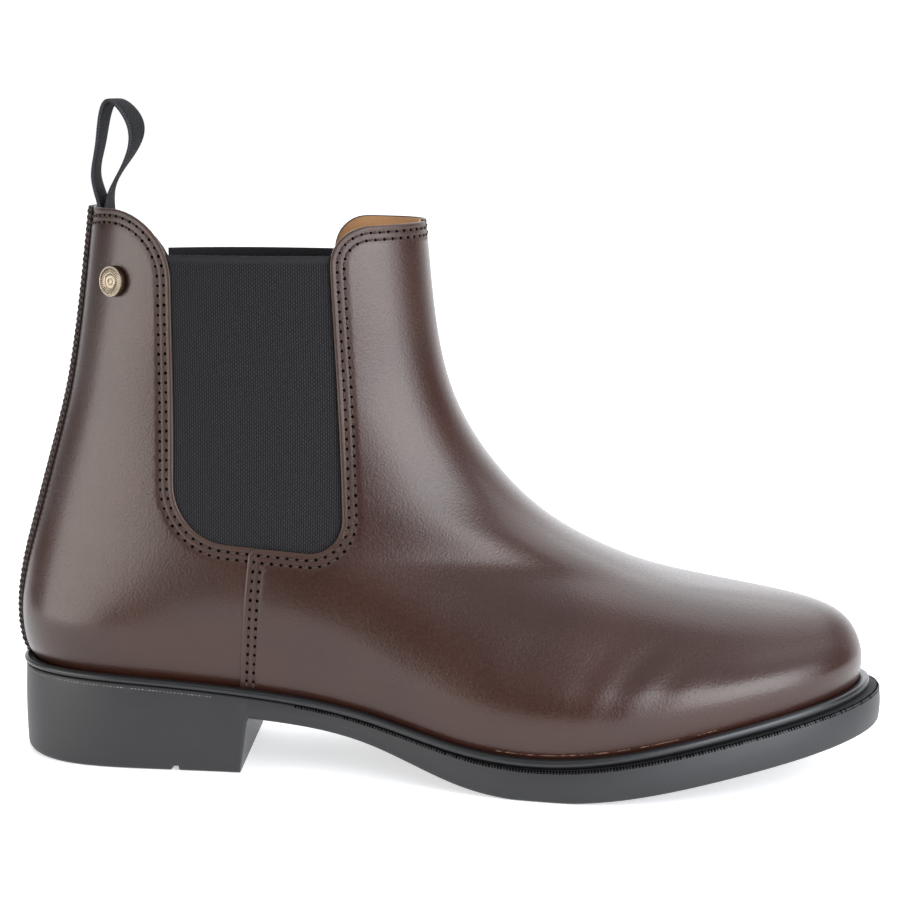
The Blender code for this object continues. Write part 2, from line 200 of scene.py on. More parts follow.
class MarkShape(Enum):
    """Forms of a small repeated mark."""

    BEAD = "bead"
    BAR = "bar"


PLAN = [
    PlanRow(47, 33.75, 0.0), PlanRow(86, 33.55, -0.6), PlanRow(120, 35.0, -3.0), PlanRow(162, 45.5, -3.4),
    PlanRow(203, 53.5, -1.8), PlanRow(234, 52.3, 0.0), PlanRow(265, 44.0, 2.0), PlanRow(286, 31.2, 3.8),
]

SIDE = [
    SideRow(0, 31.6, 7.4), SideRow(45, 29.9, 7.4), SideRow(88, 26.6, 7.4),
    SideRow(130, 20.6, 7.3), SideRow(163, 12.8, 10.4), SideRow(188, 10.6, 10.9),
    SideRow(213, 12.5, 11.3), SideRow(254, 20.6, 11.8), SideRow(301, 29.6, 11.8),
]

SECTIONS = [
    SectionRow(3.4, 31.9, 293.4, 28.6, 1.00, 0.885, 0.0, 0.0, 0.0, 0.0),
    SectionRow(-0.6, 38.5, 294.7, 37.8, 0.97, 0.930, 0.0, 0.5, 0.0, 0.0),
    SectionRow(-1.9, 50.0, 294.0, 43.8, 0.72, 0.900, 5.0, 3.0, 2.0, 1.0),
    SectionRow(-1.1, 60.0, 291.3, 49.6, 0.46, 0.620, 18.0, 15.0, 11.0, 3.0),
    SectionRow(0.8, 70.0, 285.5, 55.1, 0.25, 0.350, 30.0, 25.0, 19.0, 4.0),
    SectionRow(3.7, 81.0, 273.2, 59.3, 0.12, 0.150, 38.0, 31.0, 22.0, 5.0),
    SectionRow(6.8, 92.0, 252.0, 62.8, 0.05, 0.050, 42.0, 33.0, 24.0, 5.0),
    SectionRow(10.3, 104.0, 226.5, 67.5, 0.00, 0.000, 44.0, 34.5, 32.0, 5.0),
    SectionRow(14.4, 118.0, 200.6, 77.0, 0.00, 0.000, 43.0, 34.0, 37.0, 5.0),
    SectionRow(17.5, 130.0, 180.2, 90.0, 0.00, 0.000, 42.0, 33.5, 39.0, 5.0),
    SectionRow(19.9, 142.0, 163.3, 108.7, 0.00, 0.000, 41.0, 33.3, 39.0, 4.0),
    SectionRow(22.3, 157.0, 152.0, 130.7, 0.00, 0.000, 40.0, 33.7, 37.5, 2.0),
    SectionRow(24.6, 174.0, 146.8, 156.0, 0.00, 0.000, 39.5, 34.2, 36.5, 0.0),
    SectionRow(26.8, 192.0, 144.1, 184.0, 0.00, 0.000, 39.0, 34.5, 36.0, 0.0),
]


def spline(xs: Sequence[float], ys: Sequence[float]) -> Callable[[Any], Array]:
    """Make the natural cubic spline through points.

    Args:
        xs: Rising places.
        ys: Values at the places.

    Returns:
        The spline as a function of places.
    """
    at = np.asarray(xs, float)
    value = np.asarray(ys, float)
    count = len(at)
    step = np.diff(at)
    matrix = np.zeros((count, count))
    matrix[0, 0] = matrix[-1, -1] = 1.0
    right = np.zeros(count)
    for i in range(1, count - 1):
        matrix[i, i - 1 : i + 2] = step[i - 1], 2 * (step[i - 1] + step[i]), step[i]
        right[i] = 6 * ((value[i + 1] - value[i]) / step[i] - (value[i] - value[i - 1]) / step[i - 1])
    bend = np.linalg.solve(matrix, right)

    def evaluate(x: Any) -> Array:
        """Find the spline's values.

        Args:
            x: Places.

        Returns:
            The values at the places.
        """
        x = np.asarray(x, float)
        i = np.clip(np.searchsorted(at, x) - 1, 0, count - 2)
        after = x - at[i]
        before = at[i + 1] - x
        cubic = (bend[i] * before**3 + bend[i + 1] * after**3) / (6 * step[i])
        low = (value[i] / step[i] - bend[i] * step[i] / 6) * before
        return cubic + low + (value[i + 1] / step[i] - bend[i + 1] * step[i] / 6) * after

    return evaluate


def smooth(low: float, high: float, x: Array) -> Array:
    """Return a soft step of x from 0 at low to 1 at high."""
    t = np.clip((x - low) / (high - low), 0, 1)
    return t * t * (3 - 2 * t)


def bump(x: Array, middle: float, width: float) -> Array:
    """Return a soft bump of x of height 1 round a middle."""
    return np.exp(-(((x - middle) / width) ** 2))


def unit(vectors: Array) -> Array:
    """Return vectors at length 1."""
    return vectors / np.linalg.norm(vectors, axis=-1, keepdims=True)


def turning(low: float, high: float, count: int, above: Callable[[Array], Array]) -> Array:
    """Find by halving where a test turns true.

    Args:
        low: A value below the wanted ones.
        high: A value above them.
        count: Number of wanted values.
        above: Test of values that is false below the wanted ones and true above them.

    Returns:
        The values.
    """
    lows, highs = np.full(count, low), np.full(count, high)
    for _ in range(HALVINGS):
        middle = (lows + highs) / 2
        over = above(middle)
        highs = np.where(over, middle, highs)
        lows = np.where(over, lows, middle)
    return (lows + highs) / 2


def resampled(path: Array, step: float) -> Array:
    """Return a polyline with even steps.

    Args:
        path: Points of the polyline.
        step: Longest step between the new points.

    Returns:
        The new points, with the same ends.
    """
    along = along_path(path)
    places = np.linspace(0, along[-1], max(int(math.ceil(along[-1] / step)), 1) + 1)
    return np.column_stack([np.interp(places, along, column) for column in path.T])


def rounded(corners: Sequence[Corner], step: float = 0.8) -> Array:
    """Return the polyline in side view through corners, each rounded by its radius.

    Args:
        corners: Corners with their radii; the first and last are the ends.
        step: Longest step between points.

    Returns:
        Points as rows of x and z.
    """
    points = [np.array([corners[0].x, corners[0].z])]
    for before, corner, after in zip(corners, corners[1:], corners[2:]):
        here = np.array([corner.x, corner.z])
        back = unit(np.array([before.x, before.z]) - here)
        ahead = unit(np.array([after.x, after.z]) - here)
        half = math.acos(float(np.clip(back @ ahead, -1, 1))) / 2
        middle = here + unit(back + ahead) * (corner.radius / math.sin(half))
        first = here + back * (corner.radius / math.tan(half)) - middle
        last = here + ahead * (corner.radius / math.tan(half)) - middle
        turn = math.atan2(first[0] * last[1] - first[1] * last[0], float(first @ last))
        for part in np.linspace(0, turn, ARC_POINTS):
            cos, sin = math.cos(part), math.sin(part)
            points.append(middle + [first[0] * cos - first[1] * sin, first[0] * sin + first[1] * cos])
    points.append(np.array([corners[-1].x, corners[-1].z]))
    return resampled(np.array(points), step)


@dataclass
class Last:
    """The form that the upper follows, with its chart of angle and level.

    The angle runs from 0 at the back along the outer side to 1 at the front and along the inner
    side back to 2. The level is a row of the section table, 0 at the sole.
    """

    sole_length: float = 301.0
    heel_radius: float = 33.0
    toe_radius: float = 37.0
    toe_in: float = 5.0
    gap: float = 0.3
    lowest_level: float = -0.3
    top_level: float = 13.45
    seam_foot_x: float = 83.6
    seam_foot_z: float = 29.2
    seam_lean: float = 0.1

    def __post_init__(self) -> None:
        """Make the splines of the tables."""
        along = np.array([0.0] + [row.x / self.sole_length for row in PLAN] + [1.0])
        inner = along[1:-1]
        full = np.array([row.half for row in PLAN]) / (2 * np.sqrt(inner * (1 - inner)))
        heel, toe = (math.sqrt(r * self.sole_length / 2) for r in (self.heel_radius, self.toe_radius))
        self.plan_full = spline(along, [heel, *full, toe])
        self.plan_centre = spline(along, [0.0, *(row.centre for row in PLAN), self.toe_in])
        self.sole_top = spline([row.x for row in SIDE], [row.top for row in SIDE])
        self.sole_thick = spline([row.x for row in SIDE], [row.thick for row in SIDE])
        self.section = {
            name: spline(range(len(SECTIONS)), [getattr(row, name) for row in SECTIONS])
            for name in SectionRow._fields
        }

    @staticmethod
    def part_way(angle: Any) -> Array:
        """Return the part of the length at an angle."""
        return (1 - np.cos(np.pi * np.asarray(angle, float))) / 2

    @staticmethod
    def angle_at(part: Any) -> Array:
        """Return the outer side's angle at a part of the length."""
        return np.arccos(np.clip(1 - 2 * np.asarray(part, float), -1, 1)) / np.pi

    def side_view(self, part: Array, level: Array) -> tuple[Array, Array]:
        """Find places in side view.

        Args:
            part: Parts of the length.
            level: Levels.

        Returns:
            Their x and z.
        """
        row = {name: self.section[name](level) for name in SectionRow._fields[:5]}
        foot = SECTIONS[0]
        foot_x = foot.back_x + (foot.front_x - foot.back_x) * part
        foot_z = foot.back_z + (foot.front_z - foot.back_z) * part
        sole_bend = self.sole_top(foot_x) + self.gap - foot_z
        x = row["back_x"] + (row["front_x"] - row["back_x"]) * part
        z = row["back_z"] + (row["front_z"] - row["back_z"]) * part + row["bend"] * sole_bend
        return x, z

    def point(self, angle: Any, level: Any) -> Array:
        """Find points of the upper's outer face.

        Args:
            angle: Angles of the chart.
            level: Levels of the chart.

        Returns:
            The points.
        """
        angle, level = np.broadcast_arrays(np.asarray(angle, float), np.asarray(level, float))
        row = {name: self.section[name](level) for name in SectionRow._fields[5:]}
        p = self.part_way(angle)
        x, z = self.side_view(p, level)
        oval = row["back"] * (1 - p) * (1 - 2 * p) + row["mid"] * 4 * p * (1 - p)
        half = row["share"] * self.plan_full(p) + oval + row["front"] * p * (2 * p - 1)
        centre = row["share"] * self.plan_centre(p) + row["front_y"] * p**2
        return np.stack([x, centre - half * np.sin(np.pi * angle), z], axis=-1)

    def slopes(self, angle: Any, level: Any) -> list[Array]:
        """Return how the outer face's points change by angle and by level."""
        moves = ((SLOPE_STEP, 0.0), (0.0, SLOPE_STEP))
        ends = [[self.point(angle + s * a, level + s * b) for s in (1, -1)] for a, b in moves]
        return [(ahead - behind) / (2 * SLOPE_STEP) for ahead, behind in ends]

    def normal(self, angle: Any, level: Any) -> Array:
        """Return the outward normals of the upper's outer face."""
        return unit(np.cross(*self.slopes(angle, level)))

    def inside(self, angle: Any, level: Any, depth: Any) -> Array:
        """Return points that lie the depth inside the upper's outer face."""
        return self.point(angle, level) - self.normal(angle, level) * np.asarray(depth, float)[..., None]

    def _level_where(self, above: Callable[[Array], Array], count: int) -> Array:
        """Return the levels at which a test turns true."""
        return turning(self.lowest_level, self.top_level, count, above)

    def locate(self, places: Array) -> Array:
        """Find chart points of the outer side.

        Args:
            places: Places in side view as rows of x and z.

        Returns:
            The chart points.
        """
        x, z = places.T

        def part(level: Array) -> Array:
            """Return the part of the length at which a level has the place's x."""
            back = self.section["back_x"](level)
            return np.clip((x - back) / (self.section["front_x"](level) - back), 0, 1)

        level = self._level_where(lambda at: self.side_view(part(at), at)[1] > z, len(x))
        return np.column_stack([self.angle_at(part(level)), level])

    def along_line(self, angle: Array, start: Corner, end: Corner) -> Array:
        """Find where a straight line in side view crosses angles.

        Args:
            angle: The angles.
            start: A corner on the line.
            end: Another corner on it.

        Returns:
            The chart points.
        """
        part = self.part_way(angle)
        slope = (end.z - start.z) / (end.x - start.x)

        def above(level: Array) -> Array:
            """Say which levels lie over the line."""
            x, z = self.side_view(part, level)
            return z > start.z + slope * (x - start.x)

        return np.column_stack([angle, self._level_where(above, len(angle))])

    def seam_x(self, z: Any) -> Any:
        """Return the side seam's x at heights."""
        return self.seam_foot_x + self.seam_lean * (z - self.seam_foot_z)

    def seam(self, level: Array, ahead: float) -> Array:
        """Find the side seam on the outer side.

        Args:
            level: Levels of the chart.
            ahead: How far ahead of the seam the line lies.

        Returns:
            The chart points.
        """

        def past(angle: Array) -> Array:
            """Say which angles lie ahead of the line."""
            x, z = self.side_view(self.part_way(angle), level)
            return x > self.seam_x(z) + ahead

        return np.column_stack([turning(0.0, 1.0, len(level), past), level])

    def shifted(self, chart: Array, distance: float | Array) -> Array:
        """Move a path of the chart to its left over the surface.

        Args:
            chart: Points of the path.
            distance: How far every point moves, or each one.

        Returns:
            The moved path.
        """
        base = self.point(*chart.T)
        inward = unit(np.cross(self.normal(*chart.T), np.gradient(base, axis=0)))
        goal = base + inward * np.broadcast_to(distance, len(chart))[:, None]
        moved = chart.copy()
        for _ in range(3):
            around, upward = self.slopes(*moved.T)
            miss = goal - self.point(*moved.T)
            aa, ab, bb = ((p * q).sum(-1) for p, q in ((around, around), (around, upward), (upward, upward)))
            ma, mb = (around * miss).sum(-1), (upward * miss).sum(-1)
            det = aa * bb - ab * ab
            moved = moved + np.column_stack([(ma * bb - mb * ab) / det, (mb * aa - ma * ab) / det])
        return moved


def mirrored(chart: Array, turn: float) -> Array:
    """Return a chart path on the other side, round the turn 0 at the back or 2 at the front."""
    return np.column_stack([turn - chart[:, 0], chart[:, 1]])


def level_run(start: float, end: float, count: int, level: float) -> Array:
    """Return evenly spread chart points along a level between two angles."""
    return np.column_stack([np.linspace(start, end, count), np.full(count, level)])


def along_path(path: Array) -> Array:
    """Return the length of a polyline up to each of its points."""
    return np.concatenate([[0], np.cumsum(np.linalg.norm(np.diff(path, axis=0), axis=1))])


def to_row(points: Array) -> Array:
    """Return points of the drawing frame in metres in the row frame."""
    return (np.asarray(points, float).reshape(-1, 3) - FRAME_ORIGIN) * MM


def distances(points: Array, targets: Array) -> Array:
    """Find how far points lie from targets.

    Args:
        points: The points.
        targets: The targets.

    Returns:
        Each point's distance to the nearest target.
    """
    tree = KDTree(len(targets))
    for i, target in enumerate(targets):
        tree.insert(target, i)
    tree.balance()
    return np.array([tree.find(point)[2] for point in points])


def in_scene(name: str, data: bpy.types.ID) -> Piece:
    """Return a new object of the scene that shows the data."""
    made = bpy.data.objects.new(name, data)
    bpy.context.collection.objects.link(made)
    return made


def make_piece(
    name: str,
    points: Array,
    faces: Sequence[Sequence[int]],
    material: Material,
    marks: dict[str, Array] | None = None,
    merge: float = 1e-6,
) -> Piece:
    """Make a smooth piece from points of the drawing frame.

    Args:
        name: Name of the piece.
        points: Its points.
        faces: Its faces as rows of point numbers.
        material: Its finish.
        marks: Values at the points for the finish to read, by name.
        merge: Distance in metres under which points become one.

    Returns:
        The piece.
    """
    mesh = bpy.data.meshes.new(name)
    mesh.from_pydata([tuple(point) for point in to_row(points)], [], faces)
    for key, values in (marks or {}).items():
        attribute = mesh.attributes.new(key, "FLOAT", "POINT")
        attribute.data.foreach_set("value", np.asarray(values, np.float32).ravel())
    work = bmesh.new()
    work.from_mesh(mesh)
    bmesh.ops.remove_doubles(work, verts=work.verts, dist=merge)
    bmesh.ops.dissolve_degenerate(work, edges=work.edges, dist=merge)
    loose = [vert for vert in work.verts if not vert.link_faces]
    bmesh.ops.delete(work, geom=loose, context="VERTS")
    work.to_mesh(mesh)
    work.free()
    mesh.shade_smooth()
    mesh.materials.append(material)
    return in_scene(name, mesh)


def grid_faces(rows: int, columns: int, start: int = 0, closed: bool = False) -> list[tuple[int, ...]]:
    """Return the quads of a grid of points.

    Args:
        rows: Number of rows.
        columns: Number of points in a row.
        start: Number of the first point.
        closed: Whether the last column joins the first.

    Returns:
        The quads, facing the side from which columns and then rows turn counter-clockwise.
    """
    faces = []
    for i in range(rows - 1):
        for j in range(columns if closed else columns - 1):
            k = (j + 1) % columns
            low, high = start + i * columns, start + (i + 1) * columns
            faces.append((low + j, low + k, high + k, high + j))
    return faces


def walled(
    faces: Sequence[Sequence[int]], count: int, joined: set[int] | None = None
) -> list[tuple[int, ...]]:
    """Close a sheet with its inner copy and the walls between their rims.

    Args:
        faces: Faces of the outer sheet.
        count: Number of points of the outer sheet; the inner copy's points follow.
        joined: Points of a rim that needs no wall because it meets itself.

    Returns:
        The faces of the closed sheet.
    """
    edges = {(face[i], face[(i + 1) % len(face)]) for face in faces for i in range(len(face))}
    rim = sorted(edge for edge in edges if edge[::-1] not in edges)
    rim = [edge for edge in rim if not (joined and edge[0] in joined and edge[1] in joined)]
    inner = [tuple(i + count for i in face)[::-1] for face in faces]
    return [tuple(face) for face in faces] + inner + [(b, a, a + count, b + count) for a, b in rim]


class Nodes:
    """A node tree under construction."""

    def __init__(self, tree: bpy.types.NodeTree) -> None:
        """Take the tree."""
        self.tree = tree

    def node(self, kind: str, settings: dict[str, Any], inputs: dict[Any, Any]) -> bpy.types.Node:
        """Add a node.

        Args:
            kind: The node's type.
            settings: Its properties, set first.
            inputs: Values or sockets by input name or number.

        Returns:
            The node.
        """
        made = self.tree.nodes.new(kind)
        for key, value in settings.items():
            setattr(made, key, value)
        for key, value in inputs.items():
            self.feed(made.inputs[key], value)
        return made

    def feed(self, socket: Socket, value: Any) -> None:
        """Link an input to a source or set it to a constant.

        Args:
            socket: The input.
            value: A value, a socket, a colour or another constant.
        """
        source = value.socket if isinstance(value, Value) else value
        if isinstance(source, Socket):
            self.tree.links.new(source, socket)
        elif socket.type == "RGBA":
            socket.default_value = (*source, 1.0)
        else:
            socket.default_value = source


class Value:
    """A number socket; arithmetic on it adds Math nodes."""

    def __init__(self, nodes: Nodes, socket: Socket) -> None:
        """Wrap a socket of a node tree."""
        self.nodes = nodes
        self.socket = socket

    def math(self, operation: str, first: Any, second: Any = 0.0) -> "Value":
        """Return the result of a Math node."""
        made = self.nodes.node("ShaderNodeMath", {"operation": operation}, {0: first, 1: second})
        return Value(self.nodes, made.outputs[0])

    def __add__(self, other: Any) -> "Value":
        """Return the sum."""
        return self.math("ADD", self, other)

    def __sub__(self, other: Any) -> "Value":
        """Return the difference."""
        return self.math("SUBTRACT", self, other)

    def __rsub__(self, other: Any) -> "Value":
        """Return the difference from another value."""
        return self.math("SUBTRACT", other, self)

    def __mul__(self, other: Any) -> "Value":
        """Return the product."""
        return self.math("MULTIPLY", self, other)

    def __truediv__(self, other: Any) -> "Value":
        """Return the quotient."""
        return self.math("DIVIDE", self, other)

    __radd__ = __add__
    __rmul__ = __mul__

    def whole(self) -> "Value":
        """Return the whole number below."""
        return self.math("FLOOR", self)

    def wrapped(self, period: float) -> "Value":
        """Return the place within a period, from 0 to the period."""
        return self.math("FLOORED_MODULO", self, period)

    def off_middle(self, period: float) -> "Value":
        """Return the distance from the middle of the period."""
        return self.math("ABSOLUTE", self.wrapped(period) - period / 2)

    def step(self, low: float, high: float) -> "Value":
        """Return a soft step from 0 at low to 1 at high."""
        inputs = {"Value": self, "From Min": low, "From Max": high}
        made = self.nodes.node("ShaderNodeMapRange", {"interpolation_type": "SMOOTHSTEP"}, inputs)
        return Value(self.nodes, made.outputs["Result"])


class Shade(Nodes):
    """A material under construction around one Principled shader."""

    def __init__(self, name: str) -> None:
        """Start a material with its Principled shader.

        Args:
            name: Its name.
        """
        self.material = bpy.data.materials.new(name)
        self.material.use_nodes = True
        super().__init__(self.material.node_tree)
        self.shader = self.tree.nodes["Principled BSDF"]
        self.place = self.node("ShaderNodeTexCoord", {}, {}).outputs["Object"]

    def put(self, **values: Any) -> None:
        """Feed the shader's inputs, named with _ for a space."""
        for key, value in values.items():
            self.feed(self.shader.inputs[key.replace("_", " ")], value)

    def length_place(self) -> Value:
        """Return the place along the boot in millimetres."""
        split = self.node("ShaderNodeSeparateXYZ", {}, {0: self.place})
        return Value(self, split.outputs["X"]) * (1 / MM)

    def mark(self, name: str) -> Value:
        """Return a value that the mesh carries at its points."""
        made = self.node("ShaderNodeAttribute", {"attribute_name": name}, {})
        return Value(self, made.outputs["Fac"])

    def noise(self, size: float, detail: float = 2.0, stretch: Color = (1.0, 1.0, 1.0)) -> Value:
        """Make noise.

        Args:
            size: About the size of its spots in millimetres.
            detail: How many finer layers it has.
            stretch: Its scale by axis.

        Returns:
            The noise, around 0.5.
        """
        scaled = self.node("ShaderNodeMapping", {}, {"Vector": self.place, "Scale": stretch})
        inputs = {"Vector": scaled.outputs[0], "Scale": 1 / (size * MM), "Detail": detail}
        return Value(self, self.node("ShaderNodeTexNoise", {}, inputs).outputs["Fac"])

    def cells(self, size: float, smoothness: float = 0.6) -> Value:
        """Make rounded cells.

        Args:
            size: About their size in millimetres.
            smoothness: How softly they meet.

        Returns:
            The distance from their middles, as a part of their size.
        """
        inputs = {"Vector": self.place, "Scale": 1 / (size * MM), "Smoothness": smoothness}
        made = self.node("ShaderNodeTexVoronoi", {"feature": "SMOOTH_F1"}, inputs)
        return Value(self, made.outputs["Distance"])

    def mixed(self, part: Any, first: Any, second: Any) -> Socket:
        """Return a colour between two colours."""
        made = self.node("ShaderNodeMix", {"data_type": "RGBA"}, {0: part, 6: first, 7: second})
        return made.outputs[2]

    def relief(self, height: Value, distance: float) -> None:
        """Give the shader a bump of a height of 0 to 1 times a distance in millimetres."""
        made = self.node("ShaderNodeBump", {}, {"Height": height, "Distance": distance * MM})
        self.put(Normal=made.outputs[0])


@dataclass(frozen=True)
class Finish:
    """A finish of the boot's pieces."""

    def dress(self, shade: Shade) -> None:
        """Make the finish's nodes."""
        raise NotImplementedError

    def build(self, name: str) -> Material:
        """Make the finish's material.

        Args:
            name: Its name.

        Returns:
            The material.
        """
        shade = Shade(name)
        self.dress(shade)
        return shade.material


@dataclass(frozen=True)
class SmoothLeather(Finish):
    """Polished brown upper leather with fine grain and pressed stitched edges."""

    deep: Color = (0.0150, 0.0036, 0.0020)
    mid: Color = (0.0310, 0.0090, 0.0052)
    pressed: Color = (0.0300, 0.0130, 0.0088)
    raw: Color = (0.0380, 0.0170, 0.0105)
    gloss_tint: Color = (1.0, 0.92, 0.86)
    roughness: float = 0.24
    coat: float = 0.22
    coat_roughness: float = 0.20
    raw_ends: tuple[float, float] = (0.3, 0.9)
    band_ends: tuple[float, float] = (4.6, 6.2)
    band_share: float = 0.75
    cloud_size: float = 34.0
    crease_size: float = 2.6
    fleck_size: float = 0.9
    grain_size: float = 0.75
    grain_depth: float = 0.072

    def dress(self, shade: Shade) -> None:
        """Make the leather's nodes.

        Args:
            shade: The material.
        """
        edge = shade.mark("edge")
        cloud = shade.noise(self.cloud_size, 3.0).step(0.3, 0.7)
        fleck = shade.noise(self.fleck_size, 3.0)
        band = (1 - edge.step(*self.band_ends)) * self.band_share
        colour = shade.mixed(cloud * 0.5 + fleck * 0.5, self.deep, self.mid)
        colour = shade.mixed(band, colour, self.pressed)
        colour = shade.mixed(1 - edge.step(*self.raw_ends), colour, self.raw)
        shade.put(Base_Color=colour, Specular_Tint=self.gloss_tint)
        shade.put(Roughness=self.roughness + fleck * 0.22 + band * 0.10)
        shade.put(Coat_Weight=self.coat - band * 0.2, Coat_Roughness=self.coat_roughness)
        grain, crease = shade.cells(self.grain_size), shade.noise(self.crease_size, 4.0)
        shade.relief(grain * 0.6 + crease * 0.4 + fleck * 0.9, self.grain_depth)


@dataclass(frozen=True)
class StripLeather(Finish):
    """Dark leather of the back strip, ribbed by its braided seam."""

    deep: Color = (0.020, 0.0105, 0.0085)
    light: Color = (0.060, 0.034, 0.027)
    roughness: float = 0.5
    crown_ends: tuple[float, float] = (0.4, 2.2)
    fleck_size: float = 1.3
    grain_size: float = 0.8
    grain_depth: float = 0.06

    def dress(self, shade: Shade) -> None:
        """Make the strip's nodes.

        Args:
            shade: The material.
        """
        crown = shade.mark("edge").step(*self.crown_ends)
        fleck = shade.noise(self.fleck_size, 3.0)
        shade.put(Base_Color=shade.mixed(crown * 0.6 + fleck * 0.4, self.deep, self.light))
        shade.put(Roughness=self.roughness + fleck * 0.15)
        shade.relief(fleck + shade.cells(self.grain_size) * 0.5, self.grain_depth)


@dataclass(frozen=True)
class LiningLeather(Finish):
    """Natural tan leather inside the boot, matt and softly fibred."""

    deep: Color = (0.30, 0.142, 0.054)
    light: Color = (0.56, 0.305, 0.138)
    roughness: float = 0.78
    cloud_size: float = 14.0
    fibre_size: float = 0.9
    pin_size: float = 3.2
    pin_ends: tuple[float, float] = (0.10, 0.17)
    grain_depth: float = 0.08

    def dress(self, shade: Shade) -> None:
        """Make the lining's nodes.

        Args:
            shade: The material.
        """
        cloud, fibre = shade.noise(self.cloud_size, 4.0), shade.noise(self.fibre_size, 4.0)
        pin = 1 - shade.cells(self.pin_size, 0.1).step(*self.pin_ends)
        colour = shade.mixed(cloud * 0.6 + fibre * 0.5, self.deep, self.light)
        shade.put(Base_Color=shade.mixed(pin * 0.75, colour, self.deep))
        shade.put(Roughness=self.roughness + fibre * 0.12)
        shade.relief(fibre * 0.6 - pin, self.grain_depth)


@dataclass(frozen=True)
class Thread(Finish):
    """Waxed sewing thread or another small plain mark."""

    color: Color = (0.0200, 0.0092, 0.0062)
    light: Color = (0.0520, 0.0270, 0.0190)
    roughness: float = 0.6
    twist: float = 0.35
    shine: float = 0.4
    grain_depth: float = 0.05

    def dress(self, shade: Shade) -> None:
        """Make the thread's nodes.

        Args:
            shade: The material.
        """
        strand = shade.noise(self.twist, 2.0)
        shade.put(Base_Color=shade.mixed(strand, self.color, self.light))
        shade.put(Roughness=self.roughness + strand * 0.2, Specular_IOR_Level=self.shine)
        shade.relief(strand, self.grain_depth)


@dataclass(frozen=True)
class SoleRubber(Finish):
    """Black moulded rubber with a satin skin, faint flow marks, tread ribs, painted shade on the rim's top
    face, and a rough heel breast painted lighter: wear and painted light.
    """

    deep: Color = (0.0060, 0.0059, 0.0064)
    light: Color = (0.0140, 0.0137, 0.0146)
    scuff: Color = (0.055, 0.055, 0.058)
    # Painted shade colour for the rim's top face under the welt.
    shadow: Color = (0.0015, 0.0015, 0.0016)
    roughness: float = 0.42
    cloud_size: float = 18.0
    skin_size: float = 0.8
    scrape_size: float = 5.0
    scrape_stretch: Color = (0.35, 1.0, 1.6)
    tread_pitch: float = 4.2
    tread_depth: float = 0.6

    def dress(self, shade: Shade) -> None:
        """Make the rubber's nodes.

        Args:
            shade: The material.
        """
        cloud, skin = shade.noise(self.cloud_size, 4.0), shade.noise(self.skin_size, 3.0)
        scrape = shade.noise(self.scrape_size, 5.0, self.scrape_stretch).step(0.62, 0.78)
        under = shade.mark("under").step(0.4, 0.9)
        # worn marks the heel breast: its rough wear, and painted light that makes a face in shade lighter.
        worn, rim = (shade.mark(mark).step(0.3, 0.9) for mark in ("breast", "rim"))
        colour = shade.mixed(cloud * 0.7 + skin * 0.3, self.deep, self.light)
        colour = shade.mixed(scrape * 0.10, colour, self.scuff)
        colour = shade.mixed(worn * (0.5 + skin * 0.7), colour, self.scuff)
        # Painted shade: the rim mark darkens the rim's top face under the welt, and the sole's hidden top
        # sheet, to near-black.
        shade.put(Base_Color=shade.mixed(rim, colour, self.shadow))
        shade.put(Roughness=self.roughness + skin * 0.12 + scrape * 0.12 + rim * 0.3)
        ribs = shade.length_place().off_middle(self.tread_pitch).step(0.5, 1.1)
        shade.relief(skin * (0.05 + worn * 0.5) + cloud * 0.03 + under * ribs, self.tread_depth)


@dataclass(frozen=True)
class GoreElastic(Finish):
    """Black woven elastic with upright cords broken by short cross threads."""

    deep: Color = (0.0010, 0.0010, 0.0012)
    light: Color = (0.030, 0.029, 0.031)
    shine: float = 0.18
    roughness: float = 0.72
    cord: float = 0.78
    dash: float = 1.3
    hem_size: float = 0.6
    fluff_size: float = 0.5
    weave_depth: float = 0.22

    def dress(self, shade: Shade) -> None:
        """Make the elastic's nodes.

        Args:
            shade: The material.
        """
        across, up, hem = (shade.mark(mark) for mark in ("across", "up", "hem"))
        row = (across / self.cord).whole()
        cord = 1 - across.off_middle(self.cord).step(0.08, 0.37)
        dash = (up + row.wrapped(2.0) * (self.dash / 2)).off_middle(self.dash).step(0.15, 0.50)
        plain = 0.3 + shade.noise(self.hem_size) * 0.5
        weave = cord * (0.45 + dash * 0.55) * (1 - hem) + hem * plain
        fluff = shade.noise(self.fluff_size, 3.0)
        shade.put(Base_Color=shade.mixed(weave * 0.8 + fluff * 0.15, self.deep, self.light))
        shade.put(Roughness=self.roughness + fluff * 0.2, Specular_IOR_Level=self.shine)
        shade.relief(weave + fluff * 0.25, self.weave_depth)


@dataclass(frozen=True)
class LoopWebbing(Finish):
    """Black woven tape with a slanted weave and lighter edges."""

    deep: Color = (0.0010, 0.0010, 0.0011)
    light: Color = (0.0095, 0.0092, 0.0098)
    selvedge: Color = (0.050, 0.050, 0.057)
    shine: float = 0.15
    roughness: float = 0.7
    pick: float = 0.9
    slant: float = 0.7
    warp: float = 1.2
    fluff_size: float = 0.5
    weave_depth: float = 0.25

    def dress(self, shade: Shade) -> None:
        """Make the tape's nodes.

        Args:
            shade: The material.
        """
        across, along, rim = (shade.mark(mark) for mark in ("across", "along", "rim"))
        pick = 1 - (along + across * self.slant).off_middle(self.pick).step(0.1, 0.45)
        warp = 1 - across.off_middle(self.warp).step(0.2, 0.6)
        fluff = shade.noise(self.fluff_size, 3.0)
        colour = shade.mixed(pick * 0.5 + warp * 0.2 + fluff * 0.3, self.deep, self.light)
        edge = rim.step(0.35, 0.8) * (0.35 + pick * 0.65)
        shade.put(Base_Color=shade.mixed(edge, colour, self.selvedge))
        shade.put(Roughness=self.roughness + fluff * 0.2, Specular_IOR_Level=self.shine)
        shade.relief(pick * 0.7 + warp * 0.3 + fluff * 0.2, self.weave_depth)


